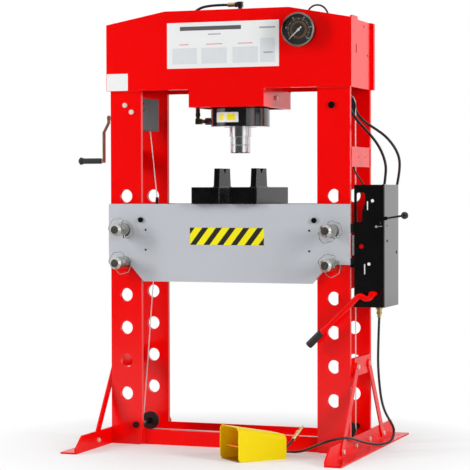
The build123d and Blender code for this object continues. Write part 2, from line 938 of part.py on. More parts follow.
# Winch in the left column: side plates on spacer bars, crank shaft, geared drum and cover
winch_in = -column_out + winch_inset
winch_out = winch_in + winch_wall + gear_width + drum_length + 6
drum_line_x = winch_out - 9 - rope_radius - rope_lead
drum_y = -drum_radius - rope_radius - seat_gap
gear_spacing = (pinion_teeth + gear_teeth) * gear_module / 2
crank_y = drum_y - sqrt(gear_spacing**2 - (drum_z - crank_z) ** 2)
with BuildPart() as winch_frame:
    for start in (winch_in, winch_out):
        with BuildSketch(sideways(start)):
            with Locations((winch_mid_y, drum_z)):
                RectangleRounded(winch_depth, winch_height, 8)
            with Locations((crank_y, crank_z)):
                Circle(crank_shaft + running_gap, mode=Mode.SUBTRACT)
            with Locations((drum_y, drum_z)):
                Circle(axle_radius + running_gap, mode=Mode.SUBTRACT)
        extrude(amount=winch_wall)
    for x, z in winch_bolts:
        with BuildSketch(facing(-bar_gap / 2 + winch_boss_length)):
            with Locations((x, z)):
                Rectangle(26, 22)
        extrude(amount=winch_boss_length)
    with BuildSketch(facing(-bar_gap / 2 + winch_boss_length)):
        with Locations(((winch_in + winch_out + winch_wall) / 2, winch_bar_z)):
            Rectangle(winch_out - winch_in + winch_wall, 8)
    extrude(amount=winch_boss_length)
    for x, z in winch_bolts:
        with BuildSketch(facing(-bar_face)):
            with Locations((x, z)):
                Circle(bolt_head_radius)
        extrude(amount=bolt_head_height)
        with BuildSketch(facing(-bar_gap / 2)):
            with Locations((x, z)):
                Circle(bolt_radius)
        extrude(amount=bar_thick)
save(winch_frame, "winch_frame")

with BuildPart() as winch_cover:
    with BuildSketch(sideways(winch_out + winch_wall)):
        with Locations((winch_mid_y, drum_z)):
            Rectangle(cover_depth, cover_height)
    extrude(amount=2)
    for face in (-1, 1):
        edge_z = drum_z + face * (cover_height / 2 - 1)
        with BuildSketch(sideways(winch_out + winch_wall - cover_return)):
            with Locations((winch_mid_y, edge_z)):
                Rectangle(cover_depth, 2)
            if face < 0:
                with Locations((0, edge_z)):
                    Rectangle(16, 4, mode=Mode.SUBTRACT)
        extrude(amount=cover_return)
    with BuildSketch(sideways(winch_out + winch_wall + 2)):
        for z in cover_screws:
            with Locations((winch_mid_y - cover_depth / 2 + 22, z)):
                Circle(4)
    extrude(amount=2)
save(winch_cover, "winch_cover")


def gear_outline(teeth):
    """A spur wheel's face: a root circle with straight-flanked teeth, thinned for backlash."""
    pitch = teeth * gear_module / 2
    root = pitch - 1.25 * gear_module
    tip = pitch + 0.8 * gear_module
    Circle(root)
    with PolarLocations(0, teeth):
        Polygon(
            (root - 0.5, -0.30 * pi * gear_module),
            (tip, -0.12 * pi * gear_module),
            (tip, 0.12 * pi * gear_module),
            (root - 0.5, 0.30 * pi * gear_module),
            align=None,
        )


gear_x = winch_in + winch_wall + 1
with BuildPart() as drum:
    wheel = Plane(origin=(gear_x, drum_y, drum_z), x_dir=(0, 1, 0), z_dir=(1, 0, 0))
    with BuildSketch(wheel):
        gear_outline(gear_teeth)
    extrude(amount=gear_width)
    with BuildSketch(wheel.offset(gear_width)):
        Circle(drum_flange)
    extrude(amount=3)
    with BuildSketch(wheel.offset(gear_width + 3)):
        Circle(drum_radius)
    extrude(amount=drum_length - 6)
    with BuildSketch(wheel.offset(gear_width + drum_length - 3)):
        Circle(drum_flange)
    extrude(amount=3)
    with BuildSketch(wheel.offset(-winch_wall - 4)):
        Circle(axle_radius)
    extrude(amount=winch_out + winch_wall - seat_gap - gear_x + winch_wall + 4)
save(drum, "winch_drum")

# The pinion is turned so that one of its gaps faces a tooth of the wheel
wheel_way = atan2(drum_z - crank_z, drum_y - crank_y)
wheel_tooth = wheel_way + pi
tooth_phase = wheel_tooth * gear_teeth / (2 * pi)
mesh = wheel_way + (0.5 + tooth_phase - int(tooth_phase)) * 2 * pi / pinion_teeth
crank_reach = crank_hub_x + crank_offset
crank_low = crank_z - crank_arm_length
with BuildPart() as crank:
    shaft = Plane(origin=(gear_x, crank_y, crank_z), x_dir=(0, 1, 0), z_dir=(1, 0, 0))
    with BuildSketch(shaft.offset(winch_out + winch_wall - gear_x)):
        Circle(crank_shaft)
    extrude(amount=-(winch_out + winch_wall + crank_hub_x + crank_thick + 2))
    with BuildSketch(Plane(shaft.origin, x_dir=(0, cos(mesh), sin(mesh)), z_dir=(1, 0, 0))):
        gear_outline(pinion_teeth)
    extrude(amount=gear_width)
    # the cranked arm, a flat bar set outwards, with the pin its handle turns on
    with BuildSketch(facing(crank_y + crank_width / 2)):
        with BuildLine():
            Polyline(
                (-crank_hub_x, crank_z + crank_width / 2 + 3),
                (-crank_hub_x, crank_z - crank_step),
                (-crank_reach + crank_thick, crank_z - 3 * crank_step),
                (-crank_reach + crank_thick, crank_low - crank_width / 2),
                (-crank_reach, crank_low - crank_width / 2),
                (-crank_reach, crank_z - 3 * crank_step),
                (-crank_hub_x - crank_thick, crank_z - crank_step),
                (-crank_hub_x - crank_thick, crank_z + crank_width / 2 + 3),
                close=True,
            )
        make_face()
    extrude(amount=crank_width)
    ends = crank.edges().filter_by(Axis.X).filter_by(lambda e: abs(e.length - crank_thick) < 0.5)
    fillet(ends, radius=crank_width / 2 - 1)
    for size, reach, length in (
        (handle_pin + 3, 0, grip_start),
        (handle_pin, grip_start, grip_length + 3),
        (handle_pin + 3, grip_start + grip_length + 2, 4),
    ):
        with BuildSketch(sideways(-crank_reach - reach)):
            with Locations((crank_y, crank_low)):
                Circle(size)
        extrude(amount=-length)
save(crank, "winch_crank")

with BuildPart() as grip:
    with BuildSketch(Plane(origin=(0, crank_y, crank_low), x_dir=(1, 0, 0), z_dir=(0, -1, 0))):
        with BuildLine():
            start = -crank_reach - grip_start - 1
            end = start - grip_length
            Polyline(
                (start, handle_pin + running_gap),
                (start, grip_radius - 1),
                (start - 4, grip_radius),
                (end + 18, grip_radius),
                (end + 8, grip_radius + 4),
                (end + 2, grip_radius + 4),
                (end, grip_radius + 2),
                (end, handle_pin + running_gap),
                close=True,
            )
        make_face()
    revolve(axis=Axis((0, crank_y, crank_low), (1, 0, 0)))
save(grip, "crank_grip")

# Rope pulleys on axles that stand out from the bars
sheaves = {
    "top_right": (sheave_top, sheave_top_radius, -1),
    "bottom_left": (sheave_left, sheave_low_radius, -1),
    "bottom_right": (sheave_right, sheave_low_radius, 1),
}
for name, ((x, z), radius, face) in sheaves.items():
    with BuildPart() as sheave:
        with BuildSketch(Plane(origin=(x, 0, z), x_dir=(1, 0, 0), z_dir=(0, 0, 1))):
            with BuildLine():
                half = sheave_width / 2
                Polyline(
                    (axle_radius + running_gap, -half),
                    (radius + 6, -half),
                    (radius + 6, -half + 2),
                    (radius, -rope_radius),
                    (radius, rope_radius),
                    (radius + 6, half - 2),
                    (radius + 6, half),
                    (axle_radius + running_gap, half),
                    close=True,
                )
            make_face()
        revolve(axis=Axis((x, 0, z), (0, 1, 0)))
    save(sheave, f"pulley_{name}")

with BuildPart() as axles:
    for (x, z), radius, face in sheaves.values():
        with BuildSketch(facing(face * bar_face)):
            with Locations((x, z)):
                Circle(axle_head)
        extrude(amount=-face * axle_head_height)
        with BuildSketch(facing(face * bar_face)):
            with Locations((x, z)):
                Circle(axle_radius)
        extrude(amount=face * (bar_face + sheave_width / 2 + collar_thick + 1))
        for start in (face * bar_gap / 2, face * (sheave_width / 2 + seat_gap + collar_thick)):
            with BuildSketch(facing(start)):
                with Locations((x, z)):
                    Circle(axle_radius + 4)
            extrude(amount=face * collar_thick)
        with BuildSketch(facing(-face * (sheave_width / 2 + seat_gap))):
            with Locations((x, z)):
                Circle(axle_radius + 4)
        extrude(amount=face * collar_thick)
save(axles, "pulley_axles")

# Wire ropes, pulled tight: from the drum to the table, and from the table round the pulleys
hoist_top = (drum_line_x, 0, drum_z)
hoist_end = (-anchor_x, 0, anchor_z + eye_rise + eye_socket_length)
with BuildPart() as hoist_rope:
    with BuildLine():
        hoist_line = Line(hoist_top, hoist_end)
    with BuildSketch(Plane(origin=hoist_line @ 0, z_dir=hoist_line % 0)):
        Circle(rope_radius)
    sweep()
save(hoist_rope, "hoist_rope")


def contact_angle(point, centre, radius, turn):
    """Where a tight rope from `point` meets a pulley, in degrees round the pulley's centre."""
    run_x = point[0] - centre[0]
    run_z = point[1] - centre[1]
    opening = acos(radius / hypot(run_x, run_z))
    return degrees(atan2(run_z, run_x) + turn * opening)


def round_point(centre, radius, angle):
    return (centre[0] + radius * cos(radians(angle)), centre[1] + radius * sin(radians(angle)))


low_line = sheave_low_radius + rope_radius + seat_gap
top_line = sheave_top_radius + rope_radius + seat_gap
balance_start = (-anchor_x, anchor_z - anchor_rod - 6 - eye_socket_length)
balance_end = (anchor_x, anchor_z + eye_rise + eye_socket_length)
angle_left = contact_angle(balance_start, sheave_left, low_line, 1)
angle_top = 360 + contact_angle(balance_end, sheave_top, top_line, -1)
angle_low = 270 + degrees(
    atan2(sheave_right[1] - sheave_left[1], sheave_right[0] - sheave_left[0])
)
with BuildPart() as balance_rope:
    with BuildLine(Plane.XZ) as balance_line:
        Line(balance_start, round_point(sheave_left, low_line, angle_left))
        CenterArc(sheave_left, low_line, angle_left, angle_low - angle_left)
        Line(
            round_point(sheave_left, low_line, angle_low),
            round_point(sheave_right, low_line, angle_low),
        )
        CenterArc(sheave_right, low_line, angle_low, 360 - angle_low)
        Line(round_point(sheave_right, low_line, 0), round_point(sheave_top, top_line, 0))
        CenterArc(sheave_top, top_line, 0, angle_top)
        Line(round_point(sheave_top, top_line, angle_top), balance_end)
    balance_wire = balance_line.wires()[0]
    with BuildSketch(Plane(origin=balance_wire @ 0, z_dir=balance_wire % 0)):
        Circle(rope_radius)
    sweep(path=balance_wire)
save(balance_rope, "balance_rope")

# Pump box: a bent cover on the right column, open at the top, with cut-outs in its front
with BuildPart() as pump_cover:
    with BuildSketch(Plane.XY.offset(box_low)):
        with BuildLine():
            sheet_mid = box_sheet / 2
            FilletPolyline(
                (box_left, -box_front + sheet_mid),
                (box_right - sheet_mid, -box_front + sheet_mid),
                (box_right - sheet_mid, box_back - sheet_mid),
                (box_back_left, box_back - sheet_mid),
                radius=5,
            )
        trace(line_width=box_sheet)
    extrude(amount=box_high - box_low)
    with BuildSketch(facing(-box_front + box_sheet + 2)):
        with BuildLine():
            FilletPolyline(
                (slot_left, slot_low),
                (slot_left, slot_high),
                (slot_right, slot_high),
                (slot_right, slot_bend),
                (slot_neck, slot_bend - slot_slope),
                (slot_neck, slot_low),
                close=True,
                radius=8,
            )
        make_face()
        with Locations((peep_x, peep_z)):
            Circle(peep_radius)
        with Locations((lever_x, lever_z)):
            Circle(lever_shaft + 3)
        with Locations((valve_x, valve_z)):
            Circle(valve_shaft + 3)
    extrude(amount=box_sheet + 4, mode=Mode.SUBTRACT)
    with BuildSketch(facing(box_back + 2)):
        with Locations((tank_x, pressure_z)):
            Circle(15)
    extrude(amount=box_sheet + 4, mode=Mode.SUBTRACT)
save(pump_cover, "pump_cover")

with BuildPart() as pump_brackets:
    for level in pump_bracket_levels:
        with BuildSketch(facing(-box_front + box_sheet + bracket_sheet)):
            with Locations(((column_out + bracket_end) / 2, level)):
                Rectangle(bracket_end - column_out, 40)
        extrude(amount=bracket_sheet)
        with BuildSketch(Plane.XY.offset(level - 20)):
            with Locations((column_out + bracket_sheet / 2, -bar_face + bar_thick / 2)):
                Rectangle(bracket_sheet, bar_thick)
        extrude(amount=40)
save(pump_brackets, "pump_brackets")

inner_side = box_right - box_sheet
with BuildPart() as tank:
    with BuildSketch(Plane.XY.offset(tank_low)):
        with Locations(((tank_left + inner_side) / 2, (tank_front + tank_back) / 2)):
            RectangleRounded(inner_side - tank_left, tank_back - tank_front, 8)
    extrude(amount=tank_high - tank_low)
    fillet(tank.edges().group_by(Axis.Z)[-1], radius=4)
    with BuildSketch(Plane.XY.offset(tank_high)):
        with Locations((tank_left + 36, tank_back - 40)):
            RegularPolygon(18, 6)
    extrude(amount=14)
save(tank, "oil_tank")

with BuildPart() as pump_body:
    with BuildSketch(Plane.XY.offset(pump_low)):
        with Locations(((pump_left + inner_side) / 2, (tank_front + pump_back) / 2)):
            RectangleRounded(inner_side - pump_left, pump_back - tank_front, 5)
    extrude(amount=tank_low - pump_low)
    with BuildSketch(Plane.XY.offset(pump_low)):
        with Locations((plunger_x, (-box_front + box_sheet + 1 + tank_front) / 2)):
            Rectangle(34, box_front - box_sheet - 1 + tank_front)
    extrude(amount=barrel_rise)
    with BuildSketch(facing(tank_front - 1)):
        with Locations((lever_x, lever_z)):
            Circle(lever_shaft + running_gap)
    extrude(amount=-lever_depth - 1, mode=Mode.SUBTRACT)
    with BuildSketch(Plane.XY.offset(pump_low + 6)):
        with Locations((plunger_x, plunger_y)):
            Circle(plunger_radius + running_gap)
    extrude(amount=barrel_rise, mode=Mode.SUBTRACT)
    with BuildSketch(facing(tank_front)):
        with Locations((valve_x, valve_z)):
            RectangleRounded(22, 60, 4)
    extrude(amount=box_front - box_sheet + tank_front)
    with BuildSketch(facing(-box_front + 1)):
        with Locations((valve_x, valve_z)):
            Circle(valve_shaft + running_gap)
    extrude(amount=-16, mode=Mode.SUBTRACT)
save(pump_body, "pump_body")

with BuildPart() as plunger:
    with BuildSketch(Plane.XY.offset(pump_low + 8)):
        with Locations((plunger_x, plunger_y)):
            Circle(plunger_radius)
    extrude(amount=plunger_top - pump_low - 8)
    chamfer(plunger.edges().group_by(Axis.Z)[-1], length=0.8)
save(plunger, "pump_plunger")

# Pump lever: shaft, rocker, hub and bent rod in one, and its grip
lever_dip = (662, 668)
lever_peak = (628, 706)
lever_grip_start = (452, 536)
lever_end = (394, 478)
with BuildPart() as pump_lever:
    with BuildSketch(facing(-lever_plane + hub_length / 2)):
        with Locations((lever_x, lever_z)):
            Circle(lever_rod)
    extrude(amount=hub_length)
    with BuildSketch(facing(tank_front + lever_depth - 1)):
        with Locations((lever_x, lever_z)):
            Circle(lever_shaft)
    extrude(amount=lever_plane + tank_front + lever_depth - 1)
    with BuildSketch(facing(plunger_y + 5)):
        with Locations((lever_x, lever_z)):
            Circle(lever_shaft + 3)
        with Locations(((lever_x + plunger_x) / 2, lever_z)):
            Rectangle(lever_x - plunger_x, rocker_height)
        with Locations((plunger_x, lever_z)):
            Circle(rocker_nose)
    extrude(amount=10)
    with BuildLine(facing(-lever_plane)):
        rod = FilletPolyline(
            (lever_x, lever_z), lever_dip, lever_peak, lever_end, radius=[24, 20]
        )
    with BuildSketch(Plane(origin=rod @ 0, z_dir=rod % 0)):
        Circle(lever_rod)
    sweep(path=rod)
save(pump_lever, "pump_lever")

grip_run = Vector(lever_end[0] - lever_peak[0], 0, lever_end[1] - lever_peak[1]).normalized()
with BuildPart() as lever_grip:
    with BuildSketch(
        Plane(origin=(lever_grip_start[0], -lever_plane, lever_grip_start[1]), z_dir=grip_run)
    ):
        Circle(lever_grip_radius)
    extrude(amount=hypot(lever_end[0] - lever_grip_start[0], lever_end[1] - lever_grip_start[1]) + 3)
    fillet(lever_grip.edges().filter_by(GeomType.CIRCLE), radius=4)
    with BuildSketch(
        Plane(origin=(lever_peak[0], -lever_plane, lever_peak[1]), z_dir=grip_run)
    ):
        Circle(lever_rod)
    extrude(amount=hypot(lever_end[0] - lever_peak[0], lever_end[1] - lever_peak[1]),
            mode=Mode.SUBTRACT)
save(lever_grip, "pump_lever_grip")

# Valve lever: hub, flat root, rod and ball
with BuildPart() as valve_lever:
    with BuildSketch(facing(-box_front + 14)):
        with Locations((valve_x, valve_z)):
            Circle(valve_shaft)
    extrude(amount=valve_plane - box_front + 14)
    with BuildSketch(facing(-valve_plane + 6)):
        with Locations((valve_x, valve_z)):
            Circle(12)
        with Locations((valve_x, valve_z)):
            with Locations(Location((valve_root / 2 * cos(valve_tilt),
                                     valve_root / 2 * sin(valve_tilt)))):
                Rectangle(valve_root, 16, rotation=degrees(valve_tilt))
    extrude(amount=10)
    along = (cos(valve_tilt), 0, sin(valve_tilt))
    with BuildSketch(Plane(origin=(valve_x, -valve_plane + 1, valve_z), z_dir=along)):
        Circle(4.5)
    extrude(amount=valve_length)
    with Locations((valve_x + valve_length * cos(valve_tilt), -valve_plane + 1,
                    valve_z + valve_length * sin(valve_tilt))):
        Sphere(valve_ball)
save(valve_lever, "valve_lever")

# Fittings: stacked hexagons, plain ferrules and square elbow blocks on a row of centre lines
fitting_rows = [
    ((tank_x, tank_back, pressure_z), (0, 1, 0), [("hex", 13, 22), ("block", 13, 26)]),
    ((tank_x, tank_back + 35, pressure_z + 13), (0, 0, 1), [("ring", 10, 24)]),
    ((return_x, return_y, tank_high), (0, 0, 1), [("hex", 13, 10), ("ring", 10, 24)]),
    ((tank_left, return_y, gauge_port_z), (-1, 0, 0), [("hex", 9, 14), ("block", 9, 18)]),
    ((tank_left - 23, return_y, gauge_port_z + 9), (0, 0, 1), [("ring", 7, 22)]),
    ((-barrel_radius - port_boss, 0, port_z), (-1, 0, 0), [("hex", 16, 26), ("ring", 9, 20),
                                                        ("block", 13, 26)]),
    ((return_end_x, 0, port_z + 13), (0, 0, 1), [("ring", 9, 10), ("hex", 12, 14),
                                               ("ring", 10, 38)]),
    ((0, 0, cap_boss_top), (0, 0, 1), [("hex", 17, 22), ("ring", 10, 26), ("block", 12, 24)]),
    ((-12, 0, cap_boss_top + 60), (-1, 0, 0), [("hex", 12, 12), ("ring", 10, 34)]),
    ((gauge_x, gauge_stem_back, gauge_z), (0, 1, 0), [("hex", 10, 14), ("block", 9, 18)]),
    ((gauge_x, gauge_stem_back + 23, gauge_z + 9), (0, 0, 1), [("ring", 7, 22)]),
    ((air_x, air_y, pump_low), (0, 0, -1), [("hex", 16, 14), ("ring", 11, 12), ("hex", 13, 10),
                                           ("ring", 9, 14)]),
]
with BuildPart() as fittings:
    for start, way, pieces in fitting_rows:
        along = Plane(origin=start, z_dir=way)
        for shape, size, length in pieces:
            with BuildSketch(along):
                if shape == "hex":
                    RegularPolygon(size, 6)
                elif shape == "block":
                    RectangleRounded(2 * size, 2 * size, 3)
                else:
                    Circle(size)
            extrude(amount=length)
            along = along.offset(length)
save(fittings, "hose_fittings")


def bend_radii(route):
    """A bend at every inner point that takes 0.45 of the shorter run beside it."""
    radii = []
    for before, here, after in zip(route, route[1:], route[2:]):
        run_in = Vector(*here) - Vector(*before)
        run_out = Vector(*after) - Vector(*here)
        half_turn = radians(run_in.get_angle(run_out)) / 2
        radii.append(0.45 * min(run_in.length, run_out.length) / tan(half_turn))
    return radii


def hose(route, radius, name):
    """A round hose swept along its route, with a smooth bend at every point."""
    radii = bend_radii(route)
    with BuildPart() as tube:
        with BuildLine():
            line = FilletPolyline(*route, radius=radii)
        with BuildSketch(Plane(origin=line @ 0, z_dir=line % 0)):
            Circle(radius)
        sweep(path=line)
    save(tube, name)
    section = pi * radius**2 * line.length
    print(name, "least radius", round(min(radii)), "length", round(line.length),
          "volume", round(tube.part.volume / section, 4))


# Foot pedal: a bent guard open at the front and underneath, a base plate and a sprung treadle
pedal_along = (cos(radians(pedal_turn)), sin(radians(pedal_turn)), 0)
pedal_across = (-sin(radians(pedal_turn)), cos(radians(pedal_turn)), 0)


def pedal_point(along, across, z):
    """A point from distances along and across the pedal from its front right corner."""
    return tuple(
        start + along * a + across * b
        for start, a, b in zip((*pedal_corner, z), pedal_along, pedal_across)
    )


def pedal_side(across):
    """A plane along the pedal, upright, at a distance across it; it extrudes to the right."""
    return Plane(
        origin=pedal_point(0, across, 0),
        x_dir=pedal_along,
        z_dir=tuple(-part for part in pedal_across),
    )


with BuildPart() as guard:
    with BuildSketch(pedal_side(pedal_width)):
        with BuildLine():
            Polyline(
                (0, 0),
                (pedal_length, 0),
                (pedal_length, pedal_rear),
                (0, pedal_front),
                close=True,
            )
        make_face()
    extrude(amount=pedal_width)
    long_top = guard.edges().filter_by(lambda e: e.length > pedal_length and e.center().Z > pedal_rear)
    fillet(long_top, radius=25)
    front_low = guard.edges().filter_by(
        lambda e: abs(e.length - pedal_width) < 1 and e.center().Z < 1
    ).sort_by_distance(pedal_point(0, pedal_width / 2, 0))[0]
    fillet(front_low, radius=20)
    front_middle = Vector(*pedal_point(0, pedal_width / 2, pedal_front / 2))
    under_middle = Vector(*pedal_point(pedal_length / 2, pedal_width / 2, 0))
    corner_middle = Vector(*pedal_point(6, pedal_width / 2, 6))
    openings = [
        guard.faces().sort_by_distance(spot)[0]
        for spot in (front_middle, under_middle, corner_middle)
    ]
    offset(amount=-pedal_sheet, openings=openings)
    with BuildSketch(Plane(origin=pedal_point(pedal_length - 10, 0, 0), x_dir=pedal_across,
                           z_dir=pedal_along)):
        for across in (air_across, supply_across):
            with Locations((across, pedal_port_z)):
                Circle(air_radius + 4)
    extrude(amount=20, mode=Mode.SUBTRACT)
save(guard, "pedal_guard")

inner_width = pedal_width - 2 * pedal_sheet
with BuildPart() as pedal_base:
    with BuildSketch(pedal_side(pedal_width - pedal_sheet)):
        with BuildLine():
            Polyline(
                (2, 0),
                (pedal_length - pedal_sheet, 0),
                (pedal_length - pedal_sheet, pedal_sheet),
                (2, pedal_sheet),
                close=True,
            )
        make_face()
    extrude(amount=inner_width)
    with BuildSketch(pedal_side(pedal_width - pedal_sheet - valve_box_side)):
        with Locations((pedal_length - pedal_sheet - 24, pedal_sheet + 22)):
            RectangleRounded(48, 44, 3)
    extrude(amount=inner_width - 2 * valve_box_side)
    for across in (pedal_sheet + 8, pedal_width - pedal_sheet - 2):
        with BuildSketch(pedal_side(across)):
            with Locations((treadle_hinge, treadle_z)):
                Circle(9)
                Circle(treadle_pin + running_gap, mode=Mode.SUBTRACT)
            with Locations((treadle_hinge, (pedal_sheet + treadle_z - 8) / 2)):
                Rectangle(14, treadle_z - 8 - pedal_sheet)
        extrude(amount=6)
save(pedal_base, "pedal_base")

with BuildPart() as treadle:
    with BuildSketch(pedal_side(pedal_width - pedal_sheet - 9)):
        with BuildLine():
            Polyline(
                (treadle_front, treadle_front_z),
                (treadle_hinge, treadle_z + 2),
                (treadle_hinge, treadle_z + 7),
                (treadle_front, treadle_front_z + 5),
                close=True,
            )
        make_face()
    extrude(amount=inner_width - 18)
    with BuildSketch(pedal_side(pedal_width - pedal_sheet - 9)):
        with Locations((treadle_hinge, treadle_z)):
            Circle(8)
    extrude(amount=inner_width - 18)
    with BuildSketch(pedal_side(pedal_width - pedal_sheet - 1)):
        with Locations((treadle_hinge, treadle_z)):
            Circle(treadle_pin)
    extrude(amount=inner_width - 2)
save(treadle, "pedal_treadle")


hose(
    [
        (tank_x, tank_back + 35, pressure_z + 37), (699, 102, 1140), (713, 98, 1205),
        (723, 88, 1256), (726, 70, 1300), (712, 46, 1346), (674, 32, 1396), (622, 28, 1432),
        (566, 36, 1466), (524, 66, 1512), (500, 98, 1584), (446, 122, 1668),
        (370, 136, 1740), (262, 144, 1784), (130, 146, 1802), (-10, 146, 1806),
        (-130, 140, 1812), (-212, 104, 1834), (-250, 52, 1880), (-250, 12, 1940),
        (-214, 0, 1984), (-150, 0, 2002), (-58, 0, cap_boss_top + 60),
    ],
    hose_radius, "hose_pressure",
)
hose(
    [
        (return_x, return_y, tank_high + 34), (698, -60, 1222), (700, -60, 1266),
        (684, -62, 1320), (654, -64, 1372), (610, -68, 1422), (564, -76, 1472),
        (532, -86, 1540), (504, -96, 1616), (446, -112, 1694), (356, -130, 1752),
        (246, -142, 1784), (120, -147, 1796), (-10, -147, 1792), (-118, -142, 1778),
        (-192, -108, 1742), (-222, -58, 1688), (-224, -16, 1624),
        (return_end_x, 0, port_z + 75),
    ],
    hose_radius, "hose_return",
)
hose(
    [
        (tank_left - 23, return_y, gauge_port_z + 31), (610, -58, 1152), (588, -54, 1196),
        (553, -46, 1234), (536, -38, 1300), (530, -34, 1390), (528, -34, 1464),
        (528, -38, 1540), (520, -46, 1620), (500, -58, 1700), (476, -72, 1782),
        (456, -86, 1856), (449, -96, 1936), (423, -103, 1972), (380, -110, 1974),
        (352, -118, 1938), (gauge_x, gauge_stem_back + 23, gauge_z + 31),
    ],
    gauge_hose_radius, "hose_gauge",
)
hose(
    [
        (air_x, air_y, pump_low - 50), (681, -112, 545), (682, -124, 470), (681, -124, 396),
        (679, -98, 316), (674, -48, 236), (668, 30, 174), (674, 84, 130), (687, 136, 81),
        (682, 110, 26), (648, 46, 20), (620, -20, 30),
        (602, -110, 52), (598, -210, 76), (588, -292, 92), (560, -345, 92),
        (510, -362, 78), (458, -342, 54), (410, -314, 32), (368, -301, 20),
        pedal_point(pedal_length - pedal_sheet + 44, air_across, pedal_port_z - 4),
        pedal_point(pedal_length - pedal_sheet, air_across, pedal_port_z),
    ],
    air_radius, "hose_air",
)

# The short supply hose that lies behind the pedal, with its crimped end and brass nipple
supply_route = [
    pedal_point(pedal_length - pedal_sheet, supply_across, pedal_port_z),
    pedal_point(pedal_length + 30, supply_across, pedal_port_z - 2),
    pedal_point(pedal_length + 58, supply_across + 2, pedal_port_z + 4),
    pedal_point(pedal_length + 84, supply_across + 6, pedal_port_z + 18),
    pedal_point(pedal_length + 106, supply_across + 10, pedal_port_z + 38),
]
hose(supply_route, air_radius, "hose_supply")
nipple_way = (Vector(*supply_route[-1]) - Vector(*supply_route[-2])).normalized()
with BuildPart() as nipple:
    along = Plane(origin=supply_route[-1], z_dir=nipple_way)
    for shape, size, length in (("ring", 9, 34), ("hex", 11, 12), ("ring", 6, 8), ("ring", 8, 8),
                                ("ring", 5, 16)):
        with BuildSketch(along):
            if shape == "hex":
                RegularPolygon(size, 6)
            else:
                Circle(size)
        extrude(amount=length)
        along = along.offset(length)
save(nipple, "air_nipple")
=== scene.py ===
"""Looks of the workshop press: paint, metal, hoses, ropes, labels, dial, stage and camera."""
import math

import bpy
import numpy as np
from bpy.props import FloatProperty, FloatVectorProperty, IntProperty, PointerProperty
from bpy.types import Operator, Panel, PropertyGroup
from mathutils import Matrix, Vector


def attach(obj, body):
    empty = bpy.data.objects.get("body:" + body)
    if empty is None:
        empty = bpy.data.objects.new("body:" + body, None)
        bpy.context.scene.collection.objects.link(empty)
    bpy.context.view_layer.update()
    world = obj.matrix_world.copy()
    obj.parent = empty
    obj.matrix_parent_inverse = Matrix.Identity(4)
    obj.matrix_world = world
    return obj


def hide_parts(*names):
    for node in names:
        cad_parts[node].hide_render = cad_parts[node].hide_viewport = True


bl_info = {
    "name": "Workshop press looks",
    "version": (1, 0, 0),
    "blender": (4, 5, 0),
    "location": "3D View > Sidebar > Press",
    "description": "Paints and dresses the packed press and sets its stage",
    "category": "Object",
}

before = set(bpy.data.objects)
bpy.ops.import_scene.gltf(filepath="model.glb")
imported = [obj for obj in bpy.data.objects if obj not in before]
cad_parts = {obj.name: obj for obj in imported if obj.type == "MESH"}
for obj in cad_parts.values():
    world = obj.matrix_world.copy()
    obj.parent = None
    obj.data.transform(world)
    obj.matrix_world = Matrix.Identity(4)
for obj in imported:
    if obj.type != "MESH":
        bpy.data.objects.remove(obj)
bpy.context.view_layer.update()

MM = 0.001

# Places in the part's frame, in millimetres
CROWN_FACE = -190.0       # Y of the crown plate's front face
TABLE_FACE = -191.5       # Y of the table plate's front face
BOX_FACE = -166.0         # Y of the pump box's front face
BOX_SIDE = 721.0          # X of the pump box's right side
COVER_SIDE = -430.0       # X of the winch cover's face
COLUMN_IN = 418.0         # X of a column's side towards the work, and of its outer side
COLUMN_OUT = 568.0
BARREL_RADIUS = 135.0
LABEL_LIFT = 0.4          # how far a stuck plate stands off its face
STRIPE_LIFT = 0.3
PRINT_LIFT = 0.1          # how far a printed field stands off its plate
MARK_LIFT = 0.2
STRIPE_LOW = (-173.0, 913.0)
STRIPE_HIGH = (178.0, 990.0)
STRIPE_DARK = 29.0        # width of a dark band
STRIPE_LEAN = 60.0        # how far a band's top lies to the right of its foot
PLUG_SPOT = (618, 911)    # the red plug in the box's peep hole
PLUG_RADIUS = 12.5
PLUG_DEPTH = 4.2          # how far its back lies behind the box's face
SCREW_SINK = 0.3          # how far a screw's head reaches into its face
TIES = (1303, 915)        # Z of the tie plates' middles
TIE_SEAM = 42             # half the length of a seam beside a tie plate

# The gauge's dial
GAUGE = (350.0, 1857.0)
DIAL_FACE = -222.0
DIAL_START = 223.0        # degrees of the zero mark, counter-clockwise from the right
DIAL_SWEEP = 266.0
DIAL_RING = (29, 40)      # inner and outer radius
TICK_END = 51
TICK_STEPS = 50
MAIN_EVERY = 5            # every fifth tick is a main one
MAIN_TICK = (44, 0.55)    # inner end and half width
FINE_TICK = (47, 0.25)
TICK_LIFT = 0.15
NUMBER_REACH = 57.5       # radius of the circle of numbers
NUMBER_SIZE = 8.5
TOP_NUMBER = 100

# Ropes and their wheels
ROPE_RADIUS = 2.5
ROPE_LAY = 34.0           # length of one turn of a strand
ROPE_STRANDS = 6
ROPE_GAP = 0.3            # between a rope and the groove it lies in
ROPE_STEP = 4.0           # from ring to ring of a rope's mesh
LOW_LINE = 35.0 + ROPE_RADIUS + ROPE_GAP    # from a low wheel's axis to its rope's middle
TOP_LINE = 56.0 + ROPE_RADIUS + ROPE_GAP
LEFT_WHEEL = (-447.0, 90.0)
RIGHT_WHEEL = (506.0, 85.0)
TOP_WHEEL = (485.0, 1529.0)
HOIST_TOP = (-451.0, 0.0, 1505.0)
HOIST_LOW = (-411.0, 0.0, 1126.0)
BALANCE_LOW = (-411.0, 0.0, 981.5)
BALANCE_HIGH = (411.0, 0.0, 1126.0)
DRUM = (-40.3, 1505.0)    # Y and Z of the drum's axis
COIL_RADIUS = 40.3
COIL_START = -536.0       # X of the first turn
COIL_STEPS = 36           # rings of the mesh in one turn
COIL_SHIFT = 0.2          # how far the coil's end lies left of the hoist rope's middle

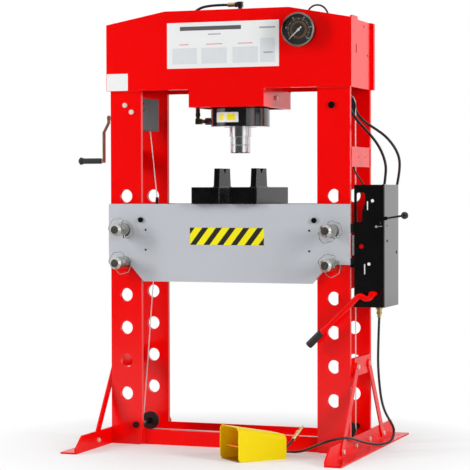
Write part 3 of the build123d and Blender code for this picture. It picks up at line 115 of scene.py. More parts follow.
# Finishes: metres and shares
ELBOW_SPAN = (-0.022, 0.2)      # the crown's elbow lies between these X
ELBOW_LOW = 1.950               # and above this Z
PORT_SPOT = (-0.130, 1.600)     # the cylinder's port fittings lie left of and below
THROUGH_RADIUS = (1.0, 0.45, 0.05)    # how far red, green and blue light goes into plastic
THROUGH_DEPTH = 0.014
SKIN_DEPTH = 0.001              # height of the fine skin's relief

# Stage, in metres and degrees
FLOOR_HALF = 9.0
FLOOR_FADE = (0.35, 1.25)  # distances over which the floor turns into the white surroundings
CARD_REACH = 5.3           # from the press to the dark card behind the camera
CARD_TURN = (-42, 42)      # what the card covers, counter-clockwise from the front
CARD_HEIGHTS = (0.02, 3.6)
SOFTBOXES = (("right", (4.6, -2.0, 2.3), 1.6, "side_light"),
             ("left", (-3.8, -2.8, 2.4), 1.4, "front_light"))
LAMP_HEIGHT = 2.6
LAMP_AIM = (0, 0, 0.95)
STRIP_WIDTH = 0.22         # a strip's width as a share of its softbox's
CAMERA_SPOT = (2.8069, -7.8085, 1.1607)
CAMERA_TURNS = (19.94941, 1.43198, -0.12816)    # round the press, down, and round its axis
CAMERA_LENS = 139.645
CAMERA_SENSOR = 36.0


# Mesh helpers

def in_scene(name, data):
    """An object in the scene with the given mesh, curve, light or camera."""
    piece = bpy.data.objects.new(name, data)
    bpy.context.scene.collection.objects.link(piece)
    return piece


def mesh_object(name, points, faces, material):
    """A mesh object at the origin from points in metres and faces."""
    mesh = bpy.data.meshes.new(name)
    mesh.from_pydata(points, [], faces)
    mesh.update()
    mesh.materials.append(material)
    return in_scene(name, mesh)


def mesh_piece(name, shape, finish, body="press", smooth=False):
    """A mesh piece from points in millimetres and faces, riding on a body."""
    vertices, faces = shape
    piece = mesh_object(name, (np.asarray(vertices) * MM).tolist(), faces, MATERIALS[finish])
    if smooth:
        piece.data.polygons.foreach_set("use_smooth", [True] * len(faces))
    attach(piece, body)
    return piece


def grid_faces(rows, columns, wrap_rows=False, wrap_columns=True):
    """Quads between neighbouring points of a rows x columns grid, row by row."""
    row = np.arange(rows if wrap_rows else rows - 1)[:, None]
    column = np.arange(columns if wrap_columns else columns - 1)[None, :]
    up, right = (row + 1) % rows, (column + 1) % columns
    corners = [row * columns + column, row * columns + right, up * columns + right,
               up * columns + column]
    return np.stack(corners, axis=-1).reshape(-1, 4).tolist()


def end_faces(rows, columns):
    """The polygons that close the first and the last ring of a grid."""
    return [list(range(columns))[::-1],
            list(range((rows - 1) * columns, rows * columns))]


def cross_to(axis):
    """A direction square to an axis: its cross product with Z, or with Y if it is upright."""
    side = np.cross(axis, (0.0, 0.0, 1.0))
    if np.linalg.norm(side) < 0.1:
        side = np.cross(axis, (0.0, 1.0, 0.0))
    return side


def run_of(points):
    """The length covered up to each point of a line."""
    step = np.linalg.norm(np.diff(np.asarray(points, dtype=float), axis=0), axis=1)
    return np.concatenate([[0.0], np.cumsum(step)])


def path_frames(points):
    """Two steady cross directions along a path of points.

    The first direction is its previous value with the new tangent's share taken out, so the
    section doesn't spin about the path. The second is square to it and to the tangent.
    """
    tangents = np.gradient(points, axis=0)
    tangents /= np.linalg.norm(tangents, axis=1, keepdims=True)
    side = cross_to(tangents[0])
    sides = []
    for tangent in tangents:
        side = side - tangent * side.dot(tangent)
        side = side / np.linalg.norm(side)
        sides.append(side)
    return np.array(sides), np.cross(tangents, sides)


def tube_mesh(points, radius, around=12, lobes=0, lay=ROPE_LAY, depth=0.12):
    """A tube along a path; with lobes, its section has strands that turn with the length.

    r(a, s) = radius * (1 - depth * |sin(lobes / 2 * (a - 2 pi s / lay))|)
    """
    points = np.asarray(points, dtype=float)
    side, other = path_frames(points)
    angle = np.linspace(0, 2 * math.pi, around, endpoint=False)[None, :]
    twist = lobes / 2 * (angle - 2 * math.pi * run_of(points)[:, None] / lay)
    reach = radius * (1 - depth * np.abs(np.sin(twist)))
    ring = (points[:, None] + (reach * np.cos(angle))[..., None] * side[:, None]
            + (reach * np.sin(angle))[..., None] * other[:, None])
    faces = grid_faces(len(points), around) + end_faces(len(points), around)
    return ring.reshape(-1, 3), faces


def spun_mesh(profile, origin, axis, around=48, ring=False):
    """A profile of (radius, height) turned about an axis; its ends are closed, or it is a ring.

    P(i, a) = origin + height_i * axis + radius_i * (cos a * u + sin a * v)
    """
    axis = np.asarray(axis, dtype=float)
    axis /= np.linalg.norm(axis)
    u = cross_to(axis)
    u /= np.linalg.norm(u)
    v = np.cross(axis, u)
    profile = np.asarray(profile, dtype=float)
    angle = np.linspace(0, 2 * math.pi, around, endpoint=False)
    circle = np.cos(angle)[:, None] * u + np.sin(angle)[:, None] * v
    turned = (np.asarray(origin) + profile[:, 1, None, None] * axis
              + profile[:, 0, None, None] * circle)
    faces = grid_faces(len(profile), around, wrap_rows=ring)
    if not ring:
        faces += end_faces(len(profile), around)
    return turned.reshape(-1, 3), faces


def joined(parts):
    """One vertex list and face list from several."""
    vertices, faces, start = [], [], 0
    for points, polygons in parts:
        vertices.append(np.asarray(points))
        faces += [[start + index for index in polygon] for polygon in polygons]
        start += len(points)
    return np.concatenate(vertices), faces


def prism(outline, front, lift):
    """A flat solid on a face that looks to the front: an outline of (X, Z) raised by `lift`."""
    count = len(outline)
    points = [(x, front, z) for x, z in outline] + [(x, front - lift, z) for x, z in outline]
    return points, end_faces(2, count) + grid_faces(2, count)


def flat_plate(low, high, front, lift):
    """A rectangular prism between two corners (X, Z)."""
    return prism([low, (high[0], low[1]), high, (low[0], high[1])], front, lift)


def disc(centre, radius, front, lift, around):
    """A round prism about a centre (X, Z): P(a) = centre + radius (cos a, sin a)."""
    turns = np.linspace(0, 2 * math.pi, around, endpoint=False)
    outline = [(centre[0] + radius * math.cos(a), centre[1] + radius * math.sin(a))
               for a in turns]
    return prism(outline, front, lift)


def clipped(outline, low, high):
    """A convex outline of (X, Z) cut to low <= X <= high, corner by corner."""
    for limit, keep in ((low, lambda x: x >= low), (high, lambda x: x <= high)):
        kept = []
        for (x0, z0), (x1, z1) in zip(outline, outline[1:] + outline[:1]):
            if keep(x0):
                kept.append((x0, z0))
            if keep(x0) != keep(x1):
                share = (limit - x0) / (x1 - x0)
                kept.append((limit, z0 + share * (z1 - z0)))
        outline = kept
    return outline


def arc_plate(radius, lift, turn, rise, steps=24):
    """A thin plate bent round the press axis: a rectangle carried along an arc.

    P(a) = (r cos a, r sin a, z) for r in (radius, radius + lift) and z in rise
    """
    angle = np.radians(np.linspace(turn[0], turn[1], steps))
    section = [(radius, rise[0]), (radius + lift, rise[0]),
               (radius + lift, rise[1]), (radius, rise[1])]
    points = [(r * math.cos(a), r * math.sin(a), z) for a in angle for r, z in section]
    return points, [face[::-1] for face in grid_faces(steps, 4) + end_faces(steps, 4)]


def weld_bead(start, end, radius, rng, step=1.6, pitch=5.0, around=8):
    """A weld along a seam: overlapping ripples, each a little different.

    r(s) = radius (0.86 + 0.14 |sin(pi s / pitch)|) (1 + 0.05 n), n normal noise
    """
    start, end = np.asarray(start, dtype=float), np.asarray(end, dtype=float)
    length = np.linalg.norm(end - start)
    count = max(8, int(length / step))
    run = np.linspace(0.0, 1.0, count)
    points = start + run[:, None] * (end - start)
    vertices, faces = tube_mesh(points, radius, around=around)
    ripple = 0.86 + 0.14 * np.abs(np.sin(math.pi * run * length / pitch))
    ripple *= 1 + 0.05 * rng.standard_normal(count)
    ripple[0] = ripple[-1] = 0.4
    rings = vertices.reshape(count, around, 3)
    rings = points[:, None] + (rings - points[:, None]) * ripple[:, None, None]
    return rings.reshape(-1, 3), faces


# Shader helpers

COLOUR, NUMBER = "NodeSocketColor", "NodeSocketFloat"
GROUPS = {}
MATERIALS = {}


def grey(level):
    return (level, level, level)


class Nodes:
    """Shorthand for building a node tree."""

    def __init__(self, tree):
        self.tree = tree

    def add(self, kind, **values):
        node = self.tree.nodes.new(kind)
        for key, value in values.items():
            setattr(node, key, value)
        return node

    def fill(self, node, values):
        """Set a node's inputs, by name or number, to numbers, colours or linked outputs."""
        for key, item in values.items():
            socket = node.inputs[key]
            if isinstance(item, (int, float)):
                socket.default_value = item
            elif isinstance(item, tuple):
                socket.default_value = (*item, 1.0)[:len(socket.default_value)]
            else:
                self.tree.links.new(item, socket)

    def value(self, operation, *inputs, clamp=False):
        node = self.add("ShaderNodeMath", operation=operation, use_clamp=clamp)
        self.fill(node, dict(enumerate(inputs)))
        return node.outputs[0]

    def mix(self, factor, first, second):
        node = self.add("ShaderNodeMix", data_type="RGBA", blend_type="MIX")
        self.fill(node, {0: factor, 6: first, 7: second})
        return node.outputs[2]

    def place(self):
        return self.add("ShaderNodeTexCoord").outputs["Object"]

    def noise(self, vector, scale, detail=3.0, rough=0.55):
        node = self.add("ShaderNodeTexNoise")
        self.fill(node, {"Vector": vector, "Scale": scale, "Detail": detail,
                         "Roughness": rough})
        return node.outputs["Fac"]

    def span(self, value, low, high, out_low=0.0, out_high=1.0):
        node = self.add("ShaderNodeMapRange")
        self.fill(node, {"Value": value, "From Min": low, "From Max": high,
                         "To Min": out_low, "To Max": out_high})
        return node.outputs["Result"]


def group_with(name, inputs, outputs):
    """An empty shader node group; an input with a number is a value, one with None a colour."""
    group = bpy.data.node_groups.new(name, "ShaderNodeTree")
    for socket, value in inputs.items():
        kind = COLOUR if value is None else NUMBER
        made = group.interface.new_socket(socket, in_out="INPUT", socket_type=kind)
        if value is not None:
            made.default_value = value
    for socket, kind in outputs.items():
        group.interface.new_socket(socket, in_out="OUTPUT", socket_type=kind)
    nodes = Nodes(group)
    return group, nodes, nodes.add("NodeGroupInput").outputs, nodes.add("NodeGroupOutput")


def make_cloudy_group():
    """Slow colour drift, patches of gloss and a fine skin, on Object coordinates."""
    group, nodes, given, result = group_with(
        "cloudy_finish",
        {"Colour": None, "Shade": None, "Drift": 0.4, "Scale": 6.0, "Roughness": 0.4,
         "Gloss Spread": 0.1, "Skin Scale": 250.0},
        {"Colour": COLOUR, "Roughness": NUMBER, "Height": NUMBER},
    )
    place = nodes.place()
    slow = nodes.span(nodes.noise(place, given["Scale"], 4.0), 0.35, 0.7)
    drift = nodes.value("MULTIPLY", slow, given["Drift"])
    colour = nodes.mix(drift, given["Colour"], given["Shade"])
    scratchy = nodes.noise(place, nodes.value("MULTIPLY", given["Scale"], 7.0), 6.0, 0.7)
    swing = nodes.value("MULTIPLY", nodes.value("SUBTRACT", scratchy, 0.5),
                        given["Gloss Spread"])
    rough = nodes.value("ADD", given["Roughness"], swing, clamp=True)
    skin = nodes.noise(place, given["Skin Scale"], 2.0)
    nodes.fill(result, {"Colour": colour, "Roughness": rough, "Height": skin})
    return group


def make_edge_group():
    """Bare spots along edges: where the rounded normal leaves the face's own, broken by noise."""
    group, nodes, given, result = group_with(
        "edge_wear",
        {"Colour": None, "Bare": None, "Width": 0.002, "Amount": 0.6},
        {"Colour": COLOUR, "Mask": NUMBER},
    )
    place = nodes.place()
    rounded = nodes.add("ShaderNodeBevel", samples=4)
    nodes.fill(rounded, {"Radius": given["Width"]})
    flat = nodes.add("ShaderNodeNewGeometry").outputs["Normal"]
    dot = nodes.add("ShaderNodeVectorMath", operation="DOT_PRODUCT")
    nodes.fill(dot, {0: rounded.outputs[0], 1: flat})
    edge = nodes.span(dot.outputs["Value"], 0.995, 0.90)
    broken = nodes.span(nodes.noise(place, 60.0, 5.0, 0.7), 0.42, 0.62)
    mask = nodes.value("MULTIPLY", nodes.value("MULTIPLY", edge, broken), given["Amount"],
                       clamp=True)
    colour = nodes.mix(mask, given["Colour"], given["Bare"])
    nodes.fill(result, {"Colour": colour, "Mask": mask})
    return group


def plain_material(name):
    """A new material, the builder of its nodes and its main shader."""
    material = bpy.data.materials.new(name)
    material.use_nodes = True
    return material, Nodes(material.node_tree), material.node_tree.nodes["Principled BSDF"]


def surface(name, colour, shade, drift=0.4, scale=6.0, rough=0.4, spread=0.12, skin=250.0,
            bump=0.02, metallic=0.0, specular=0.5, coat=0.0, wear=None, through=0.0):
    """A material with the cloudy finish and, for paint, worn edges."""
    material, nodes, shader = plain_material(name)
    material.diffuse_color = (*colour, 1.0)
    cloudy = nodes.add("ShaderNodeGroup", node_tree=GROUPS["cloudy"])
    nodes.fill(cloudy, {"Colour": colour, "Shade": shade, "Drift": drift, "Scale": scale,
                        "Roughness": rough, "Gloss Spread": spread, "Skin Scale": skin})
    paint = cloudy.outputs["Colour"]
    if wear:
        bare, width, amount = wear
        edge = nodes.add("ShaderNodeGroup", node_tree=GROUPS["edge"])
        nodes.fill(edge, {"Colour": paint, "Bare": bare, "Width": width, "Amount": amount})
        paint = edge.outputs["Colour"]
    relief = nodes.add("ShaderNodeBump")
    nodes.fill(relief, {"Height": cloudy.outputs["Height"], "Strength": bump,
                        "Distance": SKIN_DEPTH})
    nodes.fill(shader, {"Base Color": paint, "Roughness": cloudy.outputs["Roughness"],
                        "Normal": relief.outputs["Normal"], "Metallic": metallic,
                        "Specular IOR Level": specular, "Coat Weight": coat,
                        "Coat Roughness": 0.1, "Subsurface Weight": through,
                        "Subsurface Radius": THROUGH_RADIUS,
                        "Subsurface Scale": THROUGH_DEPTH})
    return material


def fittings_finish():
    """Brass, with a dark elbow on the crown's top and dark bronze beside the cylinder."""
    material = surface("hose_fittings", (0.62, 0.50, 0.22), (0.44, 0.33, 0.15), drift=0.7,
                       scale=25.0, rough=0.28, spread=0.2, metallic=1.0, skin=350.0)
    nodes = Nodes(material.node_tree)
    shader = material.node_tree.nodes["Principled BSDF"]
    place = nodes.add("ShaderNodeSeparateXYZ")
    nodes.fill(place, {0: nodes.place()})
    across, up = place.outputs["X"], place.outputs["Z"]
    elbow = nodes.value("MULTIPLY", nodes.value("GREATER_THAN", across, ELBOW_SPAN[0]),
                        nodes.value("GREATER_THAN", up, ELBOW_LOW))
    elbow = nodes.value("MULTIPLY", elbow, nodes.value("LESS_THAN", across, ELBOW_SPAN[1]))
    port = nodes.value("MULTIPLY", nodes.value("LESS_THAN", across, PORT_SPOT[0]),
                       nodes.value("LESS_THAN", up, PORT_SPOT[1]))
    brass = shader.inputs["Base Color"].links[0].from_socket
    bronze = nodes.mix(port, brass, (0.10, 0.075, 0.055))
    nodes.fill(shader, {"Base Color": nodes.mix(elbow, bronze, grey(0.006)),
                        "Metallic": nodes.value("SUBTRACT", 1.0, elbow)})
    return material


def glass_finish():
    """Clear glass with faint smears."""
    material, nodes, shader = plain_material("gauge_glass")
    smear = nodes.span(nodes.noise(nodes.place(), 30.0), 0.3, 0.7, 0.01, 0.06)
    nodes.fill(shader, {"Base Color": (0.98, 0.99, 0.99), "Roughness": smear,
                        "Transmission Weight": 1.0, "IOR": 1.18})
    return material


BARE_METAL = (0.55, 0.53, 0.50)
PAINT = dict(drift=0.35, scale=3.0, rough=0.20, spread=0.08, skin=120.0, specular=0.45,
             wear=((0.62, 0.10, 0.09), 0.0015, 0.35))
PRINTED = dict(scale=20.0, rough=0.4, bump=0.0)
DIAL = dict(scale=30.0, rough=0.5, bump=0.0)
METAL = dict(metallic=1.0, spread=0.2, skin=300.0)
POLISHED = dict(metallic=1.0, spread=0.1, bump=0.01)
SHADE = 0.80               # the red paints drift to this share of their colour

# Colour, or the name of a colour that the user sets, shade that it drifts to, other values
FINISHES = {
    "red_paint": ("paint", None, PAINT),
    "low_red": ("paint", None, PAINT | dict(rough=0.25, specular=0.15)),
    "grey_paint": ("table_paint", (0.47, 0.49, 0.52), dict(
        drift=0.5, scale=4.0, rough=0.45, skin=160.0, wear=(BARE_METAL, 0.0015, 0.3))),
    "black_paint": (grey(0.001), grey(0.003), dict(
        scale=8.0, rough=0.20, spread=0.08, skin=300.0, specular=0.35, coat=0.5,
        wear=(grey(0.2), 0.001, 0.4))),
    "gloss_black": (grey(0.003), grey(0.005), dict(
        rough=0.14, spread=0.08, skin=160.0, specular=0.6, coat=1.0,
        wear=(grey(0.2), 0.001, 0.3))),
    "dark_grey": ((0.058, 0.066, 0.074), (0.046, 0.054, 0.062), dict(
        scale=8.0, rough=0.5, skin=240.0, bump=0.04, wear=(grey(0.3), 0.001, 0.3))),
    "block_black": (grey(0.002), grey(0.006), dict(
        drift=0.6, scale=14.0, rough=0.26, spread=0.14, skin=180.0, bump=0.04, specular=0.18,
        wear=(grey(0.28), 0.002, 0.5))),
    "black_plastic": ((0.010, 0.010, 0.011), (0.02, 0.02, 0.022), dict(
        rough=0.45, skin=500.0, bump=0.06)),
    "zinc": ((0.60, 0.60, 0.56), (0.34, 0.34, 0.30), POLISHED | dict(
        drift=0.8, scale=30.0, rough=0.18, skin=400.0)),
    "bolt_zinc": ((0.84, 0.78, 0.68), (0.62, 0.56, 0.48), METAL | dict(
        drift=0.6, scale=30.0, rough=0.42, metallic=0.3)),
    "yellow_zinc": ((0.42, 0.27, 0.17), (0.26, 0.15, 0.09), METAL | dict(
        drift=0.9, scale=22.0, rough=0.35, spread=0.12)),
    "steel": ((0.56, 0.56, 0.57), (0.40, 0.40, 0.41), METAL | dict(
        drift=0.5, scale=12.0, rough=0.30)),
    "chrome": ((0.66, 0.68, 0.69), (0.56, 0.58, 0.59), POLISHED | dict(
        drift=0.3, rough=0.2, skin=200.0)),
    "bezel": ((0.20, 0.19, 0.17), (0.09, 0.09, 0.08), POLISHED | dict(
        drift=0.7, scale=20.0, rough=0.16, skin=300.0)),
    "brass": ((0.70, 0.52, 0.24), (0.48, 0.34, 0.15), METAL | dict(
        drift=0.7, scale=25.0, rough=0.30, skin=350.0)),
    "cast": ((0.10, 0.10, 0.105), (0.05, 0.05, 0.052), dict(
        scale=20.0, rough=0.65, skin=260.0, bump=0.3)),
    "rubber": (grey(0.006), grey(0.014), dict(scale=20.0, rough=0.32, skin=500.0, bump=0.05)),
    "wire": ((0.80, 0.77, 0.76), (0.58, 0.56, 0.55), dict(
        scale=60.0, metallic=0.5, skin=600.0)),
    "yellow_paint": ((1.0, 0.72, 0.0), (1.0, 0.66, 0.0), dict(
        rough=0.38, skin=180.0, specular=0.2, through=0.5, wear=(BARE_METAL, 0.001, 0.4))),
    "orange_plastic": ((0.95, 0.27, 0.005), (0.90, 0.22, 0.005), dict(
        scale=8.0, rough=0.45, skin=300.0)),
    "label_white": ((0.84, 0.85, 0.85), (0.80, 0.81, 0.82), dict(
        scale=4.0, rough=0.35, skin=80.0, bump=0.0)),
    "label_grey": ((0.70, 0.73, 0.75), (0.64, 0.67, 0.70), PRINTED | dict(scale=40.0)),
    "label_dark": ((0.10, 0.10, 0.11), (0.08, 0.08, 0.09), PRINTED),
    "label_mid": ((0.36, 0.37, 0.39), (0.32, 0.33, 0.35), PRINTED),
    "label_red": ((0.72, 0.05, 0.06), (0.62, 0.03, 0.04), PRINTED),
    "stripe_yellow": ("stripe_yellow", (0.86, 0.74, 0.0), PRINTED),
    "label_black": ((0.012, 0.011, 0.010), grey(0.02), PRINTED),
    "dial_black": (grey(0.010), grey(0.016), DIAL),
    "dial_orange": ((0.20, 0.085, 0.018), (0.06, 0.03, 0.012), DIAL | dict(
        drift=0.8, scale=60.0)),
    "dial_white": ((0.85, 0.85, 0.82), (0.78, 0.78, 0.75), DIAL),
}


def make_materials():
    """All finishes, by name."""
    GROUPS["cloudy"] = make_cloudy_group()
    GROUPS["edge"] = make_edge_group()
    for name, (colour, shade, values) in FINISHES.items():
        if isinstance(colour, str):
            colour = tuple(getattr(looks(), colour))
        shade = shade or tuple(SHADE * part for part in colour)
        MATERIALS[name] = surface(name, colour, shade, **values)
    MATERIALS["fittings"] = fittings_finish()
    MATERIALS["glass"] = glass_finish()


NODE_FINISHES = {
    "red_paint": ["column_left", "column_right", "tie_plates", "crown_front_plate",
        "crown_back_plate", "crown_end_plates", "cylinder_cradle", "braces"],
    "low_red": ["base_beams", "feet", "pump_lever"],
    "gloss_black": ["cylinder_barrel", "cylinder_lock_ring", "cylinder_cap"],
    "dark_grey": ["winch_cover"],
    "grey_paint": ["table_front_plate", "table_back_plate", "table_spacers"],
    "black_paint": ["pump_cover", "pump_brackets", "oil_tank", "valve_lever", "pulley_axles",
        "rope_anchors"],
    "block_black": ["v_block_left", "v_block_right"],
    "zinc": ["pin_left_upper", "pin_left_lower", "pin_right_upper", "pin_right_lower",
        "pedal_base"],
    "bolt_zinc": ["frame_bolts", "winch_frame"],
    "steel": ["cylinder_gland", "ram_piston", "pump_plunger", "winch_drum"],
    "chrome": ["ram_rod"],
    "bezel": ["gauge_case"],
    "yellow_zinc": ["winch_crank"],
    "wire": ["hoist_rope", "balance_rope"],
    "cast": ["pump_body"],
    "brass": ["air_nipple"],
    "fittings": ["hose_fittings"],
    "black_plastic": ["crank_grip", "pump_lever_grip", "pulley_top_right",
        "pulley_bottom_left", "pulley_bottom_right"],
    "orange_plastic": ["pedal_treadle"],
    "rubber": ["hose_pressure", "hose_return", "hose_gauge", "hose_air", "hose_supply"],
    "dial_black": ["gauge_dial"],
    "dial_white": ["gauge_needle"],
    "glass": ["gauge_glass"],
    "yellow_paint": ["pedal_guard"],
}


# Hoses and ropes: the routes of the part, in millimetres

HOSE_ROUTES = {
    "hose_pressure": [
        (690, 100, 1077), (699, 102, 1140), (713, 98, 1205), (723, 88, 1256), (726, 70, 1300),
        (712, 46, 1346), (674, 32, 1396), (622, 28, 1432), (566, 36, 1466), (524, 66, 1512),
        (500, 98, 1584), (446, 122, 1668), (370, 136, 1740), (262, 144, 1784), (130, 146, 1802),
        (-10, 146, 1806), (-130, 140, 1812), (-212, 104, 1834), (-250, 52, 1880),
        (-250, 12, 1940), (-214, 0, 1984), (-150, 0, 2002), (-58, 0, 2000),
    ],
    "hose_return": [
        (693, -60, 1184), (698, -60, 1222), (700, -60, 1266), (684, -62, 1320), (654, -64, 1372),
        (610, -68, 1422), (564, -76, 1472), (532, -86, 1540), (504, -96, 1616),
        (446, -112, 1694), (356, -130, 1752), (246, -142, 1784), (120, -147, 1796),
        (-10, -147, 1792), (-118, -142, 1778), (-192, -108, 1742), (-222, -58, 1688),
        (-224, -16, 1624), (-207, 0, 1547),
    ],
    "hose_gauge": [
        (617, -60, 1111), (610, -58, 1152), (588, -54, 1196), (553, -46, 1234), (536, -38, 1300),
        (530, -34, 1390), (528, -34, 1464), (528, -38, 1540), (520, -46, 1620), (500, -58, 1700),
        (476, -72, 1782), (456, -86, 1856), (449, -96, 1936), (423, -103, 1972),
        (380, -110, 1974), (352, -118, 1938), (350, -127, 1888),
    ],
    "hose_air": [
        (680, -100, 600), (681, -112, 545), (682, -124, 470), (681, -124, 396), (679, -98, 316),
        (674, -48, 236), (668, 30, 174), (674, 84, 130), (687, 136, 81), (682, 110, 26),
        (648, 46, 20), (620, -20, 30), (602, -110, 52), (598, -210, 76), (588, -292, 92),
        (560, -345, 92), (510, -362, 78), (458, -342, 54), (410, -314, 32), (368, -301, 20),
        (331.1, -314.1, 22), (302.8, -347.8, 26),
    ],
    "hose_supply": [
        (261.4, -313.1, 26), (282.6, -287.9, 24), (299.1, -265.1, 30), (312.7, -242.6, 44),
        (323.8, -223.2, 64),
    ],
}
HOSE_WIDTHS = dict(hose_pressure=12.0, hose_return=12.0, hose_gauge=8.0, hose_air=11.0,
                   hose_supply=11.0)


def nurbs_curve(name, route, bevel=0.0):
    """A curve through control points in millimetres, order 3, from its first to its last."""
    data = bpy.data.curves.new(name, "CURVE")
    data.dimensions = "3D"
    data.resolution_u = 10
    data.bevel_depth = bevel * MM
    data.bevel_resolution = 5
    data.use_fill_caps = True
    spline = data.splines.new("NURBS")
    spline.points.add(len(route) - 1)
    points = np.column_stack([np.asarray(route, dtype=float) * MM, np.ones(len(route))])
    spline.points.foreach_set("co", points.ravel())
    spline.order_u = 3
    spline.use_endpoint_u = True
    return in_scene(name, data)


def vertices_of(mesh):
    """A mesh's points in millimetres."""
    points = np.empty(len(mesh.vertices) * 3)
    mesh.vertices.foreach_get("co", points)
    return points.reshape(-1, 3) / MM


def nurbs_points(route):
    """The smooth line of a route, in millimetres, as its NURBS spline gives it."""
    curve = nurbs_curve("route", route)
    mesh = bpy.data.meshes.new_from_object(curve)
    points = vertices_of(mesh)
    bpy.data.objects.remove(curve)
    bpy.data.meshes.remove(mesh)
    return points


def even_points(points, step):
    """Points at even steps along a line: each coordinate interpolated over the run."""
    points = np.asarray(points, dtype=float)
    run = run_of(points)
    even = np.linspace(0.0, run[-1], max(2, int(run[-1] / step) + 1))
    return np.column_stack([np.interp(even, run, points[:, axis]) for axis in range(3)])


def length_of(points):
    return float(run_of(points)[-1])


def wheel_corner(wheel, reach, across, up):
    """The meeting point of the two straight runs beside a rope wheel."""
    return (wheel[0] + across * reach, 0.0, wheel[1] + up * reach)


def balance_route():
    """Control points of the long rope: straight runs, with a corner at each quarter turn."""
    left = wheel_corner(LEFT_WHEEL, LOW_LINE, -1, -1)
    right = wheel_corner(RIGHT_WHEEL, LOW_LINE, 1, -1)
    top_out = wheel_corner(TOP_WHEEL, TOP_LINE, 1, 1)
    top_in = wheel_corner(TOP_WHEEL, TOP_LINE, -1, 1)
    run_in = 2 * LOW_LINE
    run_top = 2 * TOP_LINE
    lean = (BALANCE_LOW[0] - left[0]) / (BALANCE_LOW[2] - left[2])
    fall = (top_in[0] - BALANCE_HIGH[0]) / (top_in[2] - BALANCE_HIGH[2])
    return [
        BALANCE_LOW,
        (left[0] + lean * run_in, 0.0, left[2] + run_in),
        left,
        (left[0] + run_in, 0.0, left[2]),
        (right[0] - run_in, 0.0, right[2]),
        right,
        (right[0], 0.0, right[2] + run_in),
        (top_out[0], 0.0, top_out[2] - run_top),
        top_out,
        top_in,
        (top_in[0] - fall * run_top, 0.0, top_in[2] - run_top),
        BALANCE_HIGH,
    ]


def number_shape(words):
    """Flat letters about their middle: points (across, up, lift) in millimetres, and faces."""
    text = bpy.data.curves.new("dial_text", "FONT")
    text.body = words
    text.size = NUMBER_SIZE * MM
    text.align_x = "CENTER"
    text.align_y = "CENTER"
    text.extrude = 0.08 * MM
    holder = bpy.data.objects.new("dial_text", text)
    flat = bpy.data.meshes.new_from_object(holder)
    points = vertices_of(flat)
    faces = [list(polygon.vertices) for polygon in flat.polygons]
    bpy.data.objects.remove(holder)
    bpy.data.curves.remove(text)
    bpy.data.meshes.remove(flat)
    return points, faces


# Sizes and colours that a user may change

TINT = dict(subtype="COLOR", size=3, min=0.0, max=1.0)
SHARE = dict(subtype="FACTOR", min=0.0, max=1.0)


class PressLooks(PropertyGroup):
    """Colours, rope and stripe pitches in metres, dial numbers and light levels."""

    paint: FloatVectorProperty(
        name="Frame paint", description="Colour of the frame, crown, cylinder and pump lever",
        default=(0.91, 0.0, 0.0), **TINT)
    table_paint: FloatVectorProperty(
        name="Table paint", description="Colour of the table plates",
        default=(0.52, 0.545, 0.59), **TINT)
    stripe_yellow: FloatVectorProperty(
        name="Stripe yellow", description="Light colour of the stripes on the table",
        default=(0.93, 0.84, 0.0), **TINT)
    stripe_pitch: FloatProperty(
        name="Stripe pitch", description="One light and one dark stripe together, along the table",
        default=0.065, unit="LENGTH", min=0.01)
    coil_pitch: FloatProperty(
        name="Coil pitch", description="From turn to turn of the rope on the drum",
        default=0.0053, unit="LENGTH", min=0.005)
    dial_numbers: IntProperty(
        name="Dial numbers", description="How many numbers stand round the dial", default=6,
        subtype="UNSIGNED", min=2, max=11)
    surround: FloatProperty(
        name="Surround", description="Light of the white surroundings on the press",
        default=0.45, **SHARE)
    floor_tone: FloatProperty(
        name="Floor tone", description="How pale the floor is, from 0 to 1", default=0.92,
        **SHARE)
    side_light: FloatProperty(
        name="Side light", description="Power of the big light at the pump's side", default=150.0,
        unit="POWER", min=0.0)
    front_light: FloatProperty(
        name="Front light", description="Power of the soft light at the front", default=136.0,
        unit="POWER", min=0.0)
    strip_share: FloatProperty(
        name="Strip share", description="Share of each light that its narrow strip gives",
        default=0.34, **SHARE)


def looks():
    return bpy.context.scene.press_looks


class PRESS_OT_finishes(Operator):
    """Makes every finish and gives each CAD node its own"""

    bl_idname = "press.finishes"
    bl_label = "Finishes"

    def execute(self, context):
        make_materials()
        for finish, nodes in NODE_FINISHES.items():
            for node in nodes:
                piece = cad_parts[node]
                for place in piece.material_slots:
                    place.material = MATERIALS[finish]
                if not piece.material_slots:
                    piece.data.materials.append(MATERIALS[finish])
        return {"FINISHED"}


class PRESS_OT_hoses(Operator):
    """Lays the oil, gauge and air hoses along their routes"""

    bl_idname = "press.hoses"
    bl_label = "Hoses"

    def execute(self, context):
        for name, route in HOSE_ROUTES.items():
            width = HOSE_WIDTHS[name]
            piece = nurbs_curve(f"{name}_line", route, width / 2)
            piece.data.materials.append(MATERIALS["rubber"])
            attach(piece, "press")
            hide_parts(name)
            length = length_of(nurbs_points(route)) * MM
        return {"FINISHED"}


